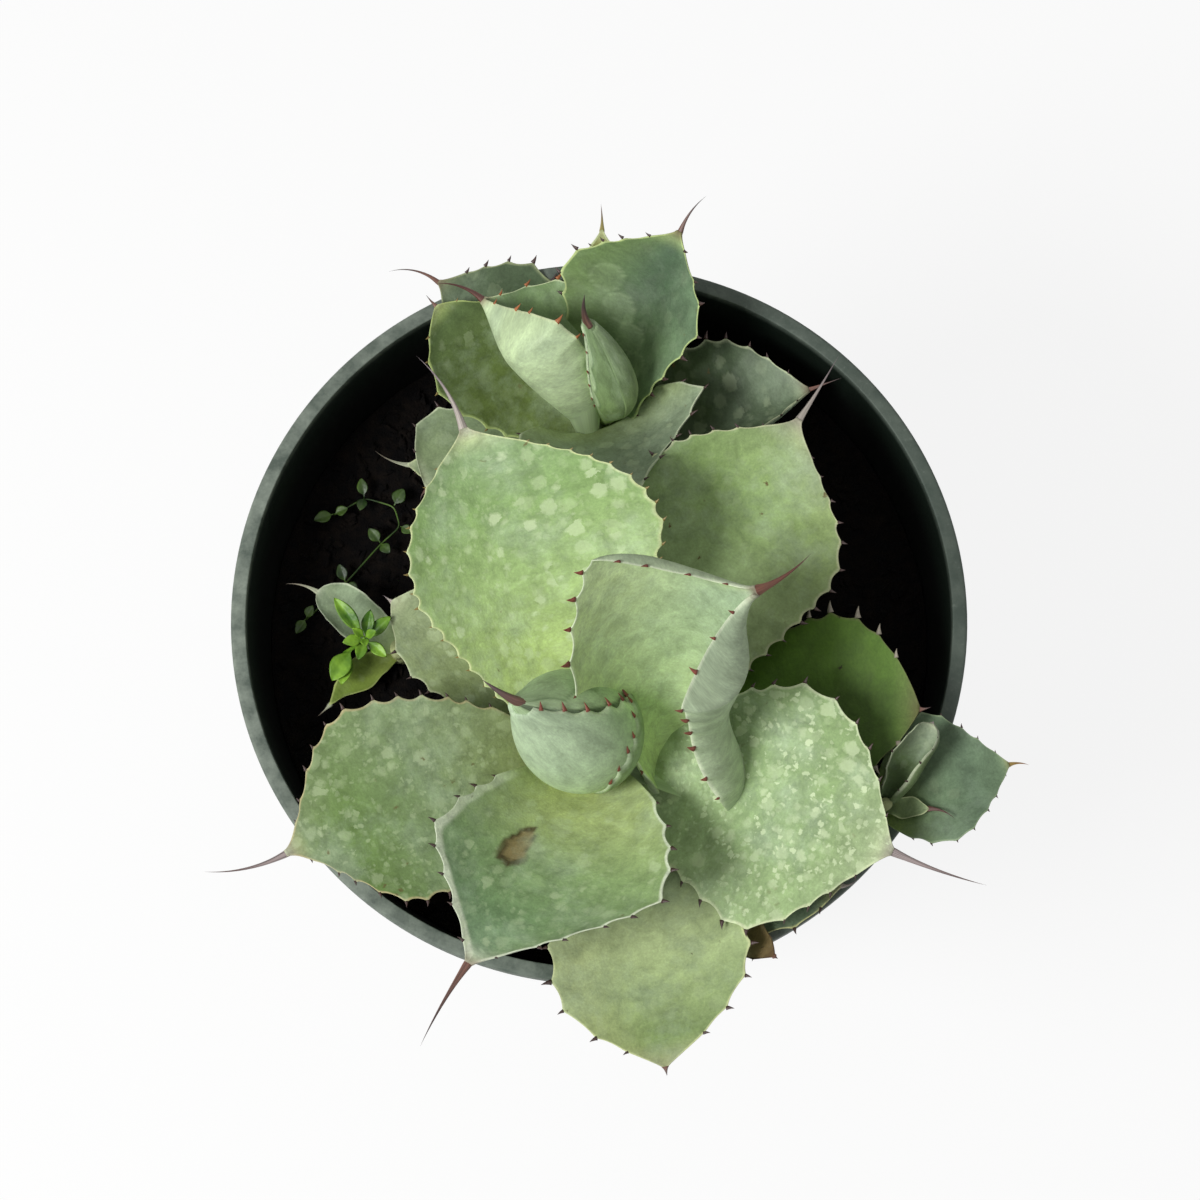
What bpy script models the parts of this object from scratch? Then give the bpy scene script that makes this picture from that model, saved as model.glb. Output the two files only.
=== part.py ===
"""A potted agave: a spiny blue-grey rosette with a large pup behind it and two small ones beside it,
in a round one-gallon nursery pot. Each leaf is one closed solid that ends in its terminal spine.

The pot stands on z = 0 with its axis on Z. Sizes in the tables are millimetres and degrees.
"""
import math

import bmesh
import bpy
from mathutils import Matrix, Vector

MM = 0.001
GAP = 0.3  # clearance between pieces that touch
SEAT_GAP = 0.7  # from a stem to the square end of a leaf, whose corners come nearer

# Pot: a moulded one-gallon nursery pot
RIM_DIAMETER = 165.0
POT_HEIGHT = 165.0
BASE_DIAMETER = 127.0
WALL = 1.6
LIP_WIDTH = 3.4
LIP_HEIGHT = 6.0
FLOOR = 2.4
DRAIN_DIAMETER = 12.0
DRAIN_CIRCLE = 42.0
DRAIN_COUNT = 4
POT_SEGMENTS = 64

# Potting mix
MIX_TOP = 140.0
MIX_SEGMENTS = 48

# Leaf build
LEAF_THICK = 3.4  # at the midrib of a full-size leaf's base
EDGE_SHARE = 0.25  # thickness left at the margin, as a share of the midrib's
TIP_SHARE = 0.40  # thickness left at the tip, as a share of the base's
FULL_WIDTH = 50.0  # width of a leaf that has the full thickness
TIP_WIDTH = 0.05  # width where the spine starts, as a share of the leaf's
STATIONS = 8  # steps between the rings along a blade
SPINE_RINGS = 3
UPPER_POINTS = 5  # points across the upper face, margins included
PATH_STEPS = 60  # fine steps that the midrib is summed over

# Stems: (x, y) and height of the foot and of the top, radius at the foot and at the top
STEMS = {
    "main_stem": dict(foot=(-3.0, -32.0, 140.3), top=(-3.0, -32.0, 169.0), radius=(14.0, 5.3)),
    "back_pup_stem": dict(foot=(-1.0, 40.0, 140.3), top=(-1.0, 42.0, 165.5), radius=(6.0, 3.1)),
    "left_pup_stem": dict(foot=(-46.0, -3.8, 140.3), top=(-46.0, -3.8, 145.0), radius=(3.2, 2.2)),
    "right_pup_stem": dict(foot=(57.0, -41.0, 140.3), top=(62.4, -44.4, 172.5), radius=(2.8, 1.5)),
}
STEM_SEGMENTS = 20

# Buds, the rolled young leaves at a rosette's centre: (x, y, z, radius) along the axis, then the spine's end
BUDS = {
    "main_bud": dict(
        rings=[(-3.0, -32.0, 169.4, 4.8), (-3.2, -31.2, 174.0, 8.6), (-4.0, -30.0, 180.0, 12.4),
               (-5.4, -29.3, 186.0, 12.6), (-8.4, -28.8, 194.0, 9.8), (-12.4, -28.4, 201.0, 5.4),
               (-17.0, -28.4, 207.0, 1.3)],
        spine_end=(-24.0, -24.5, 210.5)),
    "back_pup_bud": dict(
        rings=[(1.6, 43.6, 166.0, 2.6), (3.3, 45.4, 170.0, 4.1), (3.4, 48.5, 176.0, 4.9),
               (2.0, 52.0, 183.0, 4.3), (-0.2, 56.0, 189.5, 2.4), (-3.0, 59.0, 194.0, 0.9)],
        spine_end=(-3.1, 62.5, 201.0)),
}
BUD_SEGMENTS = 20

# Leaves. stem and height: where the leaf leaves it; heading: compass angle from +X; rise: pitch at the
# base and at the tip; bend: change of heading along the leaf; skew: right half wider (+) or left (-);
# widest: where along the leaf; neck: width at the base; flare, full, taper: curve of the outline;
# cup: how far the left and right halves curl up; spine: length, change of pitch and change of heading.
LEAVES = {
    "main_leaf_01": dict(stem="main_stem", height=167, heading=42, length=60, rise=(58, 42), bend=-30,
                         width=54, skew=0.0, widest=0.55, neck=0.6, flare=1.6, full=1.6, taper=1.4,
                         cup=(50, 80), roll=5, spine=(16, 0, 30)),
    "main_leaf_02": dict(stem="main_stem", height=165, heading=244, length=57, rise=(45, 20), bend=-13,
                         width=55, skew=-0.20, widest=0.58, neck=0.45, flare=1.7, full=1.2, taper=1.2,
                         cup=(40, 30), roll=-8, spine=(21, 0, 10)),
    "main_leaf_03": dict(stem="main_stem", height=163, heading=112, length=72, rise=(42, 12), bend=-9,
                         width=58, skew=0.24, widest=0.54, neck=0.35, flare=1.0, full=2.7, taper=1.4,
                         cup=(30, 30), roll=7, spine=(19, -5, 33)),
    "main_leaf_04": dict(stem="main_stem", height=160, heading=340, length=66, rise=(34, 6), bend=-13,
                         width=55, skew=0.0, widest=0.57, neck=0.36, flare=1.1, full=2.2, taper=1.3,
                         cup=(20, 20), roll=-11, spine=(21, 2, 11)),
    "main_leaf_05": dict(stem="main_stem", height=157, heading=200, length=63, rise=(30, 6), bend=18,
                         width=46, skew=0.03, widest=0.62, neck=0.40, flare=2.0, full=2.0, taper=1.7,
                         cup=(20, 20), roll=-1, spine=(18, 5, -32)),
    "main_leaf_06": dict(stem="main_stem", height=154, heading=57, length=81, rise=(28, 8), bend=-2,
                         width=50, skew=0.08, widest=0.65, neck=0.35, flare=1.3, full=2.3, taper=1.6,
                         cup=(20, 20), roll=0, spine=(17, 0, 4)),
    "main_leaf_07": dict(stem="main_stem", height=153, heading=284, length=64, rise=(34, 6), bend=-7,
                         width=44, skew=-0.10, widest=0.65, neck=0.40, flare=1.8, full=2.1, taper=1.1,
                         cup=(18, 18), roll=-6, spine=(2, 0, 0)),
    "main_leaf_08": dict(stem="main_stem", height=150, heading=140, length=46, rise=(10, 2), bend=8,
                         width=27, skew=0.20, widest=0.66, neck=0.5, flare=2.0, full=2.1, taper=1.0,
                         cup=(15, 15), roll=0, spine=(2.5, 0, 0)),
    "main_leaf_09": dict(stem="main_stem", height=149, heading=6, length=68, rise=(30, 22), bend=-14,
                         width=37, skew=-0.23, widest=0.72, neck=0.4, flare=1.3, full=2.2, taper=0.9,
                         cup=(15, 15), roll=2, spine=(2.5, 0, 20)),
    "main_leaf_10": dict(stem="main_stem", height=147, heading=332, length=56, rise=(22, 26), bend=36,
                         width=35, skew=-0.18, widest=0.71, neck=0.35, flare=2.0, full=2.4, taper=1.1,
                         cup=(18, 18), roll=0, spine=(4, 0, 60)),
    "dead_leaf": dict(stem="main_stem", height=144, heading=303, length=52, rise=(13, 58), bend=14,
                      width=11, skew=0.0, widest=0.6, neck=0.6, flare=2.0, full=2.0, taper=0.8,
                      cup=(8, 8), roll=0, spine=(1.5, 0, 0)),
    "back_pup_leaf_01": dict(stem="back_pup_stem", height=164, heading=137, length=35, rise=(22, 21), bend=12,
                             width=40, skew=-0.25, widest=0.6, neck=0.5, flare=1.8, full=1.8, taper=1.5,
                             cup=(150, 60), roll=-20, spine=(12, -13, 48)),
    "back_pup_leaf_02": dict(stem="back_pup_stem", height=158, heading=65, length=50, rise=(40, 34), bend=2,
                             width=37, skew=-0.22, widest=0.62, neck=0.35, flare=1.0, full=2.0, taper=1.4,
                             cup=(25, 30), roll=16, spine=(10, -10, -35)),
    "back_pup_leaf_03": dict(stem="back_pup_stem", height=153, heading=141, length=45, rise=(28, 20), bend=-3,
                             width=28, skew=-0.15, widest=0.62, neck=0.3, flare=1.3, full=2.0, taper=0.9,
                             cup=(25, 25), roll=0, spine=(3.5, 0, -12)),
    "back_pup_leaf_04": dict(stem="back_pup_stem", height=148.5, heading=135, length=50, rise=(29, 23), bend=23,
                             width=29, skew=0.23, widest=0.68, neck=0.3, flare=1.2, full=2.0, taper=1.4,
                             cup=(20, 20), roll=0, spine=(12, -20, 54)),
    "back_pup_leaf_05": dict(stem="back_pup_stem", height=152, heading=293, length=41, rise=(88, 60), bend=-14,
                             width=46, skew=0.0, widest=0.5, neck=0.3, flare=2.1, full=1.0, taper=1.5,
                             cup=(69, 42), roll=25, spine=(8, -45, -30)),
    "back_pup_leaf_06": dict(stem="back_pup_stem", height=151.5, heading=88, length=47, rise=(38, 14), bend=0,
                             width=16, skew=0.0, widest=0.6, neck=0.3, flare=2.0, full=2.0, taper=1.2,
                             cup=(20, 20), roll=0, spine=(6, 20, 10)),
    "back_pup_leaf_07": dict(stem="back_pup_stem", height=146, heading=14, length=48, rise=(30, 14), bend=6,
                             width=27, skew=-0.35, widest=0.54, neck=0.5, flare=2.0, full=2.1, taper=1.4,
                             cup=(20, 30), roll=1, spine=(8, 0, 0)),
    "back_pup_leaf_08": dict(stem="back_pup_stem", height=145, heading=193, length=36, rise=(26, 8), bend=44,
                             width=34, skew=-0.06, widest=0.75, neck=0.3, flare=1.4, full=2.5, taper=0.9,
                             cup=(50, 30), roll=-5, spine=(3, -10, 54)),
    "back_pup_leaf_09": dict(stem="back_pup_stem", height=142, heading=182, length=38, rise=(16, 10), bend=-14,
                             width=18, skew=0.0, widest=0.6, neck=0.5, flare=2.0, full=2.0, taper=1.3,
                             cup=(20, 20), roll=0, spine=(8.5, 25, -30)),
    "left_pup_leaf_01": dict(stem="left_pup_stem", height=144, heading=148, length=21, rise=(35, 20), bend=7,
                             width=11.6, skew=0.0, widest=0.58, neck=0.5, flare=2.2, full=2.0, taper=0.6,
                             cup=(40, 40), roll=0, spine=(7.5, -9, 38)),
    "left_pup_leaf_02": dict(stem="left_pup_stem", height=143, heading=222, length=18.5, rise=(25, 10), bend=15,
                             width=8, skew=0.18, widest=0.5, neck=0.5, flare=2.0, full=1.3, taper=1.2,
                             cup=(30, 30), roll=0, spine=(3.7, 0, -7)),
    "right_pup_leaf_01": dict(stem="right_pup_stem", height=166.5, heading=16, length=28, rise=(30, 0), bend=4,
                              width=30, skew=-0.1, widest=0.49, neck=0.45, flare=2.0, full=1.5, taper=1.1,
                              cup=(25, 25), roll=8, spine=(4.6, -8, -38)),
    "right_pup_leaf_02": dict(stem="right_pup_stem", height=171, heading=50, length=17, rise=(32, 22), bend=0,
                              width=17, skew=0.0, widest=0.5, neck=0.3, flare=2.0, full=2.6, taper=0.7,
                              cup=(130, 150), roll=0, spine=(0.6, 0, 0)),
    "right_pup_leaf_03": dict(stem="right_pup_stem", height=168.3, heading=352, length=9, rise=(32, 26), bend=8,
                              width=5, skew=0.0, widest=0.5, neck=0.6, flare=2.0, full=2.0, taper=1.0,
                              cup=(30, 30), roll=0, spine=(6.5, 0, -48)),
}

# Weeds: each has a run of points that its stem follows, and leaves given as
# (x, y, z of the leaf's base on the stem, heading, pitch, length, width)
WEEDS = {
    "seedling": dict(
        run=[(-60.0, -6.0, 140.3), (-58.4, -5.6, 148.0), (-54.0, -4.4, 154.0), (-53.0, -4.0, 157.5)],
        radius=0.6,
        leaves=[(-53.0, -4.0, 156.6, 128, 8, 10.0, 3.6), (-53.0, -4.0, 154.8, 80, 14, 6.0, 3.2),
                (-53.0, -4.0, 154.2, 42, 12, 7.0, 3.4), (-53.0, -4.0, 156.2, 195, 20, 5.0, 3.0),
                (-53.0, -4.0, 155.6, 255, 15, 5.0, 3.0), (-53.0, -4.0, 155.0, 320, 6, 6.0, 3.0),
                (-56.2, -5.0, 151.0, 240, 2, 8.0, 5.4)]),
    "creeping_weed": dict(
        run=[(-68.0, 4.0, 141.2), (-59.0, 12.5, 141.2), (-51.0, 22.0, 141.2), (-46.5, 26.0, 141.2),
             (-48.0, 31.0, 141.2), (-55.0, 33.0, 141.2), (-62.0, 29.0, 141.2)],
        radius=0.5,
        leaves=[(-68.0, 4.0, 141.4, 240, 6, 4.4, 2.8), (-59.0, 12.5, 141.4, 110, 6, 4.6, 2.4),
                (-59.0, 12.5, 141.4, 320, 6, 4.0, 3.0), (-51.0, 22.0, 141.4, 130, 6, 4.4, 3.0),
                (-46.5, 26.0, 141.4, 330, 6, 3.4, 2.6), (-48.0, 31.0, 141.4, 60, 6, 4.6, 3.6),
                (-55.0, 33.0, 141.4, 100, 6, 4.6, 2.2), (-62.0, 29.0, 141.4, 200, 6, 5.0, 2.6)]),
}
WEED_THICK = 0.7
WEED_BITE = 0.9  # how far a leaf's foot reaches back through its stem
WEED_SEGMENTS = 6

# Finish: colour (linear RGB), roughness, metallic
FINISHES = {
    "pot": ((0.035, 0.045, 0.040), 0.6, 0.0),
    "mix": ((0.012, 0.010, 0.008), 0.95, 0.0),
    "stem": ((0.30, 0.34, 0.18), 0.6, 0.0),
    "leaf": ((0.22, 0.32, 0.19), 0.5, 0.0),
    "dead": ((0.16, 0.11, 0.06), 0.9, 0.0),
    "weed": ((0.12, 0.30, 0.04), 0.5, 0.0),
}


def unit(pitch, heading):
    """The direction at this pitch above the horizontal and this compass heading, in radians."""
    level = math.cos(pitch)
    return Vector((level * math.cos(heading), level * math.sin(heading), math.sin(pitch)))


def blend(start, end, share):
    return start + (end - start) * share


def material(name):
    """The Principled material of this finish, made on first use."""
    if name in bpy.data.materials:
        return bpy.data.materials[name]
    colour, roughness, metallic = FINISHES[name]
    made = bpy.data.materials.new(name)
    made.use_nodes = True
    shader = made.node_tree.nodes["Principled BSDF"]
    shader.inputs["Base Color"].default_value = (*colour, 1.0)
    shader.inputs["Roughness"].default_value = roughness
    shader.inputs["Metallic"].default_value = metallic
    return made


def add_object(name, bm, finish):
    """Turns the bmesh, in millimetres, into an object in metres with faces outward."""
    bmesh.ops.recalc_face_normals(bm, faces=bm.faces)
    bmesh.ops.transform(bm, matrix=Matrix.Scale(MM, 4), verts=bm.verts)
    mesh = bpy.data.meshes.new(name)
    bm.to_mesh(mesh)
    bm.free()
    mesh.shade_smooth()
    mesh.set_sharp_from_angle(angle=math.radians(40))
    made = bpy.data.objects.new(name, mesh)
    made.data.materials.append(material(finish))
    bpy.context.scene.collection.objects.link(made)
    return made


def skin(bm, rings, end=None):
    """Joins rings of points into a closed body. With no end point, the last ring gets a flat cap."""
    loops = [[bm.verts.new(point) for point in ring] for ring in rings]
    for near, far in zip(loops, loops[1:]):
        for i, corner in enumerate(near):
            j = (i + 1) % len(near)
            bm.faces.new((corner, near[j], far[j], far[i]))
    bm.faces.new(loops[0])
    if end is None:
        bm.faces.new(loops[-1])
        return
    tip = bm.verts.new(end)
    for i, corner in enumerate(loops[-1]):
        bm.faces.new((corner, loops[-1][(i + 1) % len(loops[-1])], tip))


def ring_around(centre, axis, radius, segments):
    """A circle of points about a centre, square to an axis."""
    turn = Vector((0, 0, 1)).rotation_difference(axis)
    points = []
    for i in range(segments):
        angle = math.tau * i / segments
        points.append(centre + turn @ Vector((radius * math.cos(angle), radius * math.sin(angle), 0)))
    return points


def stem_place(stem, height):
    """The stem's centre and radius at a height."""
    foot, top = Vector(stem["foot"]), Vector(stem["top"])
    share = (height - foot.z) / (top.z - foot.z)
    return foot.lerp(top, share), blend(*stem["radius"], share)


def half_width(leaf, t):
    """Half the blade's width at t along it, as a share of half the leaf's full width."""
    if t < leaf["widest"]:
        return leaf["neck"] + (1 - leaf["neck"]) * (1 - (1 - t / leaf["widest"]) ** leaf["flare"])
    past = (t - leaf["widest"]) / (1 - leaf["widest"])
    return TIP_WIDTH + (1 - TIP_WIDTH) * (1 - past ** leaf["full"]) ** leaf["taper"]


def leaf_thickness(leaf, t):
    """The blade's thickness at its midrib, t along it. Narrow leaves are thinner."""
    size = min(1.0, leaf["width"] / FULL_WIDTH) ** 0.5
    return LEAF_THICK * size * blend(1.0, TIP_SHARE, t)


def leaf_path(leaf):
    """(centre, pitch, heading) at fine steps along the midrib, from the stem to the spine's foot."""
    stem, pitch = STEMS[leaf["stem"]], math.radians(leaf["rise"][0])
    thick = leaf_thickness(leaf, 0.0)
    centre, at_top = stem_place(stem, leaf["height"])
    _, at_underside = stem_place(stem, leaf["height"] - thick * math.cos(pitch))
    reach = max(at_top, at_underside - thick * math.sin(pitch)) + SEAT_GAP
    point = centre + unit(0, math.radians(leaf["heading"])) * reach
    step = leaf["length"] / PATH_STEPS
    path = []
    for i in range(PATH_STEPS + 1):
        t = i / PATH_STEPS
        pitch = math.radians(blend(*leaf["rise"], t))
        heading = math.radians(leaf["heading"] + leaf["bend"] * (t - 0.5))
        path.append((point.copy(), pitch, heading))
        point += unit(pitch, heading) * step
    return path


def leaf_ring(leaf, t, place):
    """One closed ring around the blade: across the upper face, then back under it."""
    centre, pitch, heading = place
    along = unit(pitch, heading)
    up = unit(pitch + math.pi / 2, heading)
    side = along.cross(up)
    roll = math.radians(leaf["roll"])
    side, up = side * math.cos(roll) + up * math.sin(roll), up * math.cos(roll) - side * math.sin(roll)
    half = half_width(leaf, t) * leaf["width"] / 2
    thick = leaf_thickness(leaf, t)
    upper, lower = [], []
    for i in range(UPPER_POINTS):
        across = 2 * i / (UPPER_POINTS - 1) - 1
        reach = half * (1 + leaf["skew"] * (1 if across > 0 else -1))
        curl = math.radians(leaf["cup"][1] if across > 0 else leaf["cup"][0]) * (1.15 - 0.3 * t)
        turn = curl * across
        point = centre + side * (reach * math.sin(turn) / curl) + up * (reach * (1 - math.cos(turn)) / curl)
        outward = side * math.sin(turn) - up * math.cos(turn)
        depth = thick * blend(1.0, EDGE_SHARE, across ** 2)
        upper.append(point)
        lower.append(point + outward * depth)
    return upper + lower[-2:0:-1]


def leaf_object(name, leaf, finish):
    """One leaf: the blade's rings, then the spine's rings, closed by the spine's point."""
    path = leaf_path(leaf)
    rings = []
    for i in range(STATIONS + 1):
        t = i / STATIONS
        rings.append(leaf_ring(leaf, t, path[round(t * PATH_STEPS)]))
    tip, pitch, heading = path[-1]
    length, lift, turn = leaf["spine"]
    middle = sum(rings[-1], Vector()) / len(rings[-1])
    offsets = [point - middle for point in rings[-1]]
    for i in range(1, SPINE_RINGS + 1):
        share = i / (SPINE_RINGS + 1)
        middle = middle + unit(pitch + math.radians(lift) * share, heading + math.radians(turn) * share) * (
            length / (SPINE_RINGS + 1))
        if i <= SPINE_RINGS:
            rings.append([middle + offset * (1 - share) for offset in offsets])
    end = middle + unit(pitch + math.radians(lift), heading + math.radians(turn)) * (length / (SPINE_RINGS + 1))
    bm = bmesh.new()
    skin(bm, rings, end)
    return add_object(name, bm, finish)


def stem_object(name, stem):
    """A stem: a tapered body that stands on the potting mix."""
    foot, top = Vector(stem["foot"]), Vector(stem["top"])
    axis = Vector((0, 0, 1))
    rings = [ring_around(foot.lerp(top, share), axis, blend(*stem["radius"], share), STEM_SEGMENTS)
             for share in (0.0, 1.0)]
    bm = bmesh.new()
    skin(bm, rings)
    return add_object(name, bm, "stem")


def bud_object(name, bud):
    """A bud: rings about its leaning axis, closed by the spine's point."""
    axis = Vector((0, 0, 1))
    rings = [ring_around(Vector(ring[:3]), axis, ring[3], BUD_SEGMENTS) for ring in bud["rings"]]
    bm = bmesh.new()
    skin(bm, rings, Vector(bud["spine_end"]))
    return add_object(name, bm, "leaf")


def wall_radius(height):
    """The pot's outer radius under the lip, at a height."""
    top = RIM_DIAMETER / 2 - LIP_WIDTH + WALL
    return blend(BASE_DIAMETER / 2, top, height / POT_HEIGHT)


def turned(name, profile, segments, finish):
    """A body turned about Z from (radius, height) points that start and end on the axis."""
    bm = bmesh.new()
    axis = Vector((0, 0, 1))
    rings = [ring_around(Vector((0, 0, height)), axis, radius, segments) for radius, height in profile[1:-1]]
    loops = [[bm.verts.new(point) for point in ring] for ring in rings]
    for near, far in zip(loops, loops[1:]):
        for i, corner in enumerate(near):
            j = (i + 1) % segments
            bm.faces.new((corner, near[j], far[j], far[i]))
    bm.faces.new(loops[0])
    bm.faces.new(loops[-1])
    return add_object(name, bm, finish)


def pot_object():
    """The pot: tapered wall, flat floor with drain holes, and a lip folded out at the rim."""
    rim = RIM_DIAMETER / 2
    lip_foot = POT_HEIGHT - LIP_HEIGHT
    profile = [
        (0, 0), (BASE_DIAMETER / 2, 0), (wall_radius(lip_foot), lip_foot), (rim, lip_foot + 1.0),
        (rim, POT_HEIGHT - 0.8), (rim - 0.8, POT_HEIGHT), (rim - LIP_WIDTH + 0.6, POT_HEIGHT),
        (rim - LIP_WIDTH, POT_HEIGHT - 0.6), (wall_radius(FLOOR) - WALL, FLOOR), (0, FLOOR),
    ]
    pot = turned("pot", profile, POT_SEGMENTS, "pot")
    bm = bmesh.new()
    for i in range(DRAIN_COUNT):
        angle = math.tau * (i + 0.5) / DRAIN_COUNT
        foot = Vector((DRAIN_CIRCLE * math.cos(angle), DRAIN_CIRCLE * math.sin(angle), -FLOOR))
        top = foot + Vector((0, 0, 3 * FLOOR))
        skin(bm, [ring_around(end, Vector((0, 0, 1)), DRAIN_DIAMETER / 2, 16) for end in (foot, top)])
    drains = add_object("drain_cutter", bm, "pot")
    drains.hide_render = True
    drains.display_type = "WIRE"
    cut = pot.modifiers.new("drains", "BOOLEAN")
    cut.operation = "DIFFERENCE"
    cut.object = drains
    return pot


def mix_object():
    """The potting mix: it fills the pot up to its open top."""
    inner_foot = wall_radius(FLOOR) - WALL - GAP
    inner_top = wall_radius(MIX_TOP) - WALL - GAP
    foot = FLOOR + GAP
    profile = [(0, foot), (inner_foot, foot), (inner_top, MIX_TOP), (0, MIX_TOP)]
    return turned("potting_mix", profile, MIX_SEGMENTS, "mix")


def weed_leaf(bm, place):
    """A small oval leaf: a flat lens of six corners and two peaks."""
    x, y, z, heading, pitch, length, width = place
    along = unit(math.radians(pitch), math.radians(heading))
    up = unit(math.radians(pitch + 90), math.radians(heading))
    side = along.cross(up)
    start = Vector((x, y, z)) - along * WEED_BITE
    outline = [(0.0, 0.0), (0.3, 0.42), (0.7, 0.42), (1.0, 0.0), (0.7, -0.42), (0.3, -0.42)]
    ring = [bm.verts.new(start + along * (length * a) + side * (width * b)) for a, b in outline]
    middle = start + along * (length / 2)
    for lift in (WEED_THICK / 2, -WEED_THICK / 2):
        peak = bm.verts.new(middle + up * lift)
        for i, corner in enumerate(ring):
            bm.faces.new((corner, ring[(i + 1) % len(ring)], peak))


def weed_object(name, weed):
    """A weed: a thin stem along its run, with the leaves joined to it by a Boolean union."""
    run = [Vector(point) for point in weed["run"]]
    rings = []
    for i, point in enumerate(run):
        ahead = run[min(i + 1, len(run) - 1)] - run[max(i - 1, 0)]
        rings.append(ring_around(point, ahead.normalized(), weed["radius"], WEED_SEGMENTS))
    bm = bmesh.new()
    skin(bm, rings)
    made = add_object(name, bm, "weed")
    bm = bmesh.new()
    for place in weed["leaves"]:
        weed_leaf(bm, place)
    leaves = add_object(name + "_leaves", bm, "weed")
    leaves.hide_render = True
    leaves.display_type = "WIRE"
    join = made.modifiers.new("leaves", "BOOLEAN")
    join.operation = "UNION"
    join.use_self = True
    join.object = leaves
    return made


def main():
    for old in list(bpy.data.objects):
        bpy.data.objects.remove(old)
    pot_object()
    mix_object()
    for name, stem in STEMS.items():
        stem_object(name, stem)
    for name, bud in BUDS.items():
        bud_object(name, bud)
    for name, leaf in LEAVES.items():
        leaf_object(name, leaf, "dead" if name == "dead_leaf" else "leaf")
    for name, weed in WEEDS.items():
        weed_object(name, weed)


main()
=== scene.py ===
# %% [markdown]
# # A potted agave, leaf by leaf
# A small agave is a spiral of stiff, spoon-shaped leaves. Each leaf is thick along its middle, thin at
# its toothed edge, and ends in one long horny spine. This one grows in a round nursery pot with a large
# pup behind it, two small ones beside it, and a few weeds. A hidden frame already holds every piece as
# a plain solid. Each cell below makes one kind of piece with the detail that those solids leave out.

# %% Load the frame and keep its box
import math

import bmesh
import bpy
import numpy as np
from mathutils import Matrix, Vector


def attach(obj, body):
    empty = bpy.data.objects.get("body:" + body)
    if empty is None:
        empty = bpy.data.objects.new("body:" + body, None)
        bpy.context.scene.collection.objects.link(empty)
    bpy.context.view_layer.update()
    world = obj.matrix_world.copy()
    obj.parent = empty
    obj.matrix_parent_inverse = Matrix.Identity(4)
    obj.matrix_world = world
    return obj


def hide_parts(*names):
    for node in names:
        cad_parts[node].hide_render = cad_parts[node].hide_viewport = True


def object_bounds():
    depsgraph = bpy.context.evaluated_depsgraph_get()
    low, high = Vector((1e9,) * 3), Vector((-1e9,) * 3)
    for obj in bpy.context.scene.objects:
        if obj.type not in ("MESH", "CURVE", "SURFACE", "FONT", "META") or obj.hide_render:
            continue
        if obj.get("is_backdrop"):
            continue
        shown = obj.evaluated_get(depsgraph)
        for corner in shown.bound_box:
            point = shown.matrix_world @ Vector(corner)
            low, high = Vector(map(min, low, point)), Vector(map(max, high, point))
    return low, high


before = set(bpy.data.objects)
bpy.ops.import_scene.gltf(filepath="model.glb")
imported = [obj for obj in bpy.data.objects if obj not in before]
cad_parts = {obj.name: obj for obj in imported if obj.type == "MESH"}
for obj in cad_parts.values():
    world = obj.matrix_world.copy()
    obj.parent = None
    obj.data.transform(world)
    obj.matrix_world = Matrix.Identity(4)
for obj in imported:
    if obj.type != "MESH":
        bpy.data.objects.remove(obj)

CAD_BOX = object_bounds()
MM = 0.001
print("pieces in the frame:", len(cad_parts), "box:", [tuple(corner) for corner in CAD_BOX])

# %% [markdown]
# A few small helpers carry the whole lesson. Colours are chosen as sRGB hex values, as a paint program
# shows them, but Blender mixes light in linear values, so one function converts them. Another adds
# a node with its settings and its links in one line, which keeps a long material readable. The rest
# start a material or a node tree, link an object to the scene, and keep what modifiers make.


# %% Helpers for colours and nodes
def tone(text):
    """An sRGB hex value as linear red, green, blue and alpha."""
    channels = [int(text[i:i + 2], 16) / 255 for i in (1, 3, 5)]
    return tuple(c / 12.92 if c <= 0.04045 else ((c + 0.055) / 1.055) ** 2.4 for c in channels) + (1.0,)


def rgb(text):
    """The same colour as an array of red, green and blue."""
    return np.array(tone(text)[:3])


def add(tree, kind, links=None, **settings):
    """Adds a node. links gives a value or another node's socket for each of its inputs."""
    made = tree.nodes.new(kind)
    for key, value in settings.items():
        setattr(made, key, value)
    for key, value in (links or {}).items():
        if isinstance(value, bpy.types.NodeSocket):
            tree.links.new(value, made.inputs[key])
        else:
            made.inputs[key].default_value = value
    return made


def new_material(name, constants):
    """A material with these constants on its Principled shader, its node tree, and that shader."""
    made = bpy.data.materials.new(name)
    made.use_nodes = True
    shader = made.node_tree.nodes["Principled BSDF"]
    for key, value in constants.items():
        shader.inputs[key].default_value = value
    return made, made.node_tree, shader


def new_tree(name, inputs):
    """A Geometry Nodes tree with these named inputs, and the sockets that carry them."""
    tree = bpy.data.node_groups.new(name, "GeometryNodeTree")
    for key, kind in {"Geometry": "Geometry", **inputs}.items():
        tree.interface.new_socket(key, in_out="INPUT", socket_type="NodeSocket" + kind)
    tree.interface.new_socket("Geometry", in_out="OUTPUT", socket_type="NodeSocketGeometry")
    return tree, add(tree, "NodeGroupInput").outputs


def placed(name, data):
    """An object of this mesh, lamp or camera, linked to the scene."""
    made = bpy.data.objects.new(name, data)
    bpy.context.scene.collection.objects.link(made)
    return made


def keep_result(obj):
    """Makes what the modifiers give the object's own plain mesh, and removes them."""
    graph = bpy.context.evaluated_depsgraph_get()
    result = bpy.data.meshes.new_from_object(obj.evaluated_get(graph), preserve_all_data_layers=True,
                                             depsgraph=graph)
    obj.modifiers.clear()
    obj.data = result
    result.name = obj.name


def step(low, high, value):
    """0 below low, 1 above high, and smooth between."""
    share = np.clip((value - low) / (high - low), 0, 1)
    return share * share * (3 - 2 * share)


print("sage green in linear values:", [round(c, 3) for c in tone("#9eb57f")])

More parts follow.
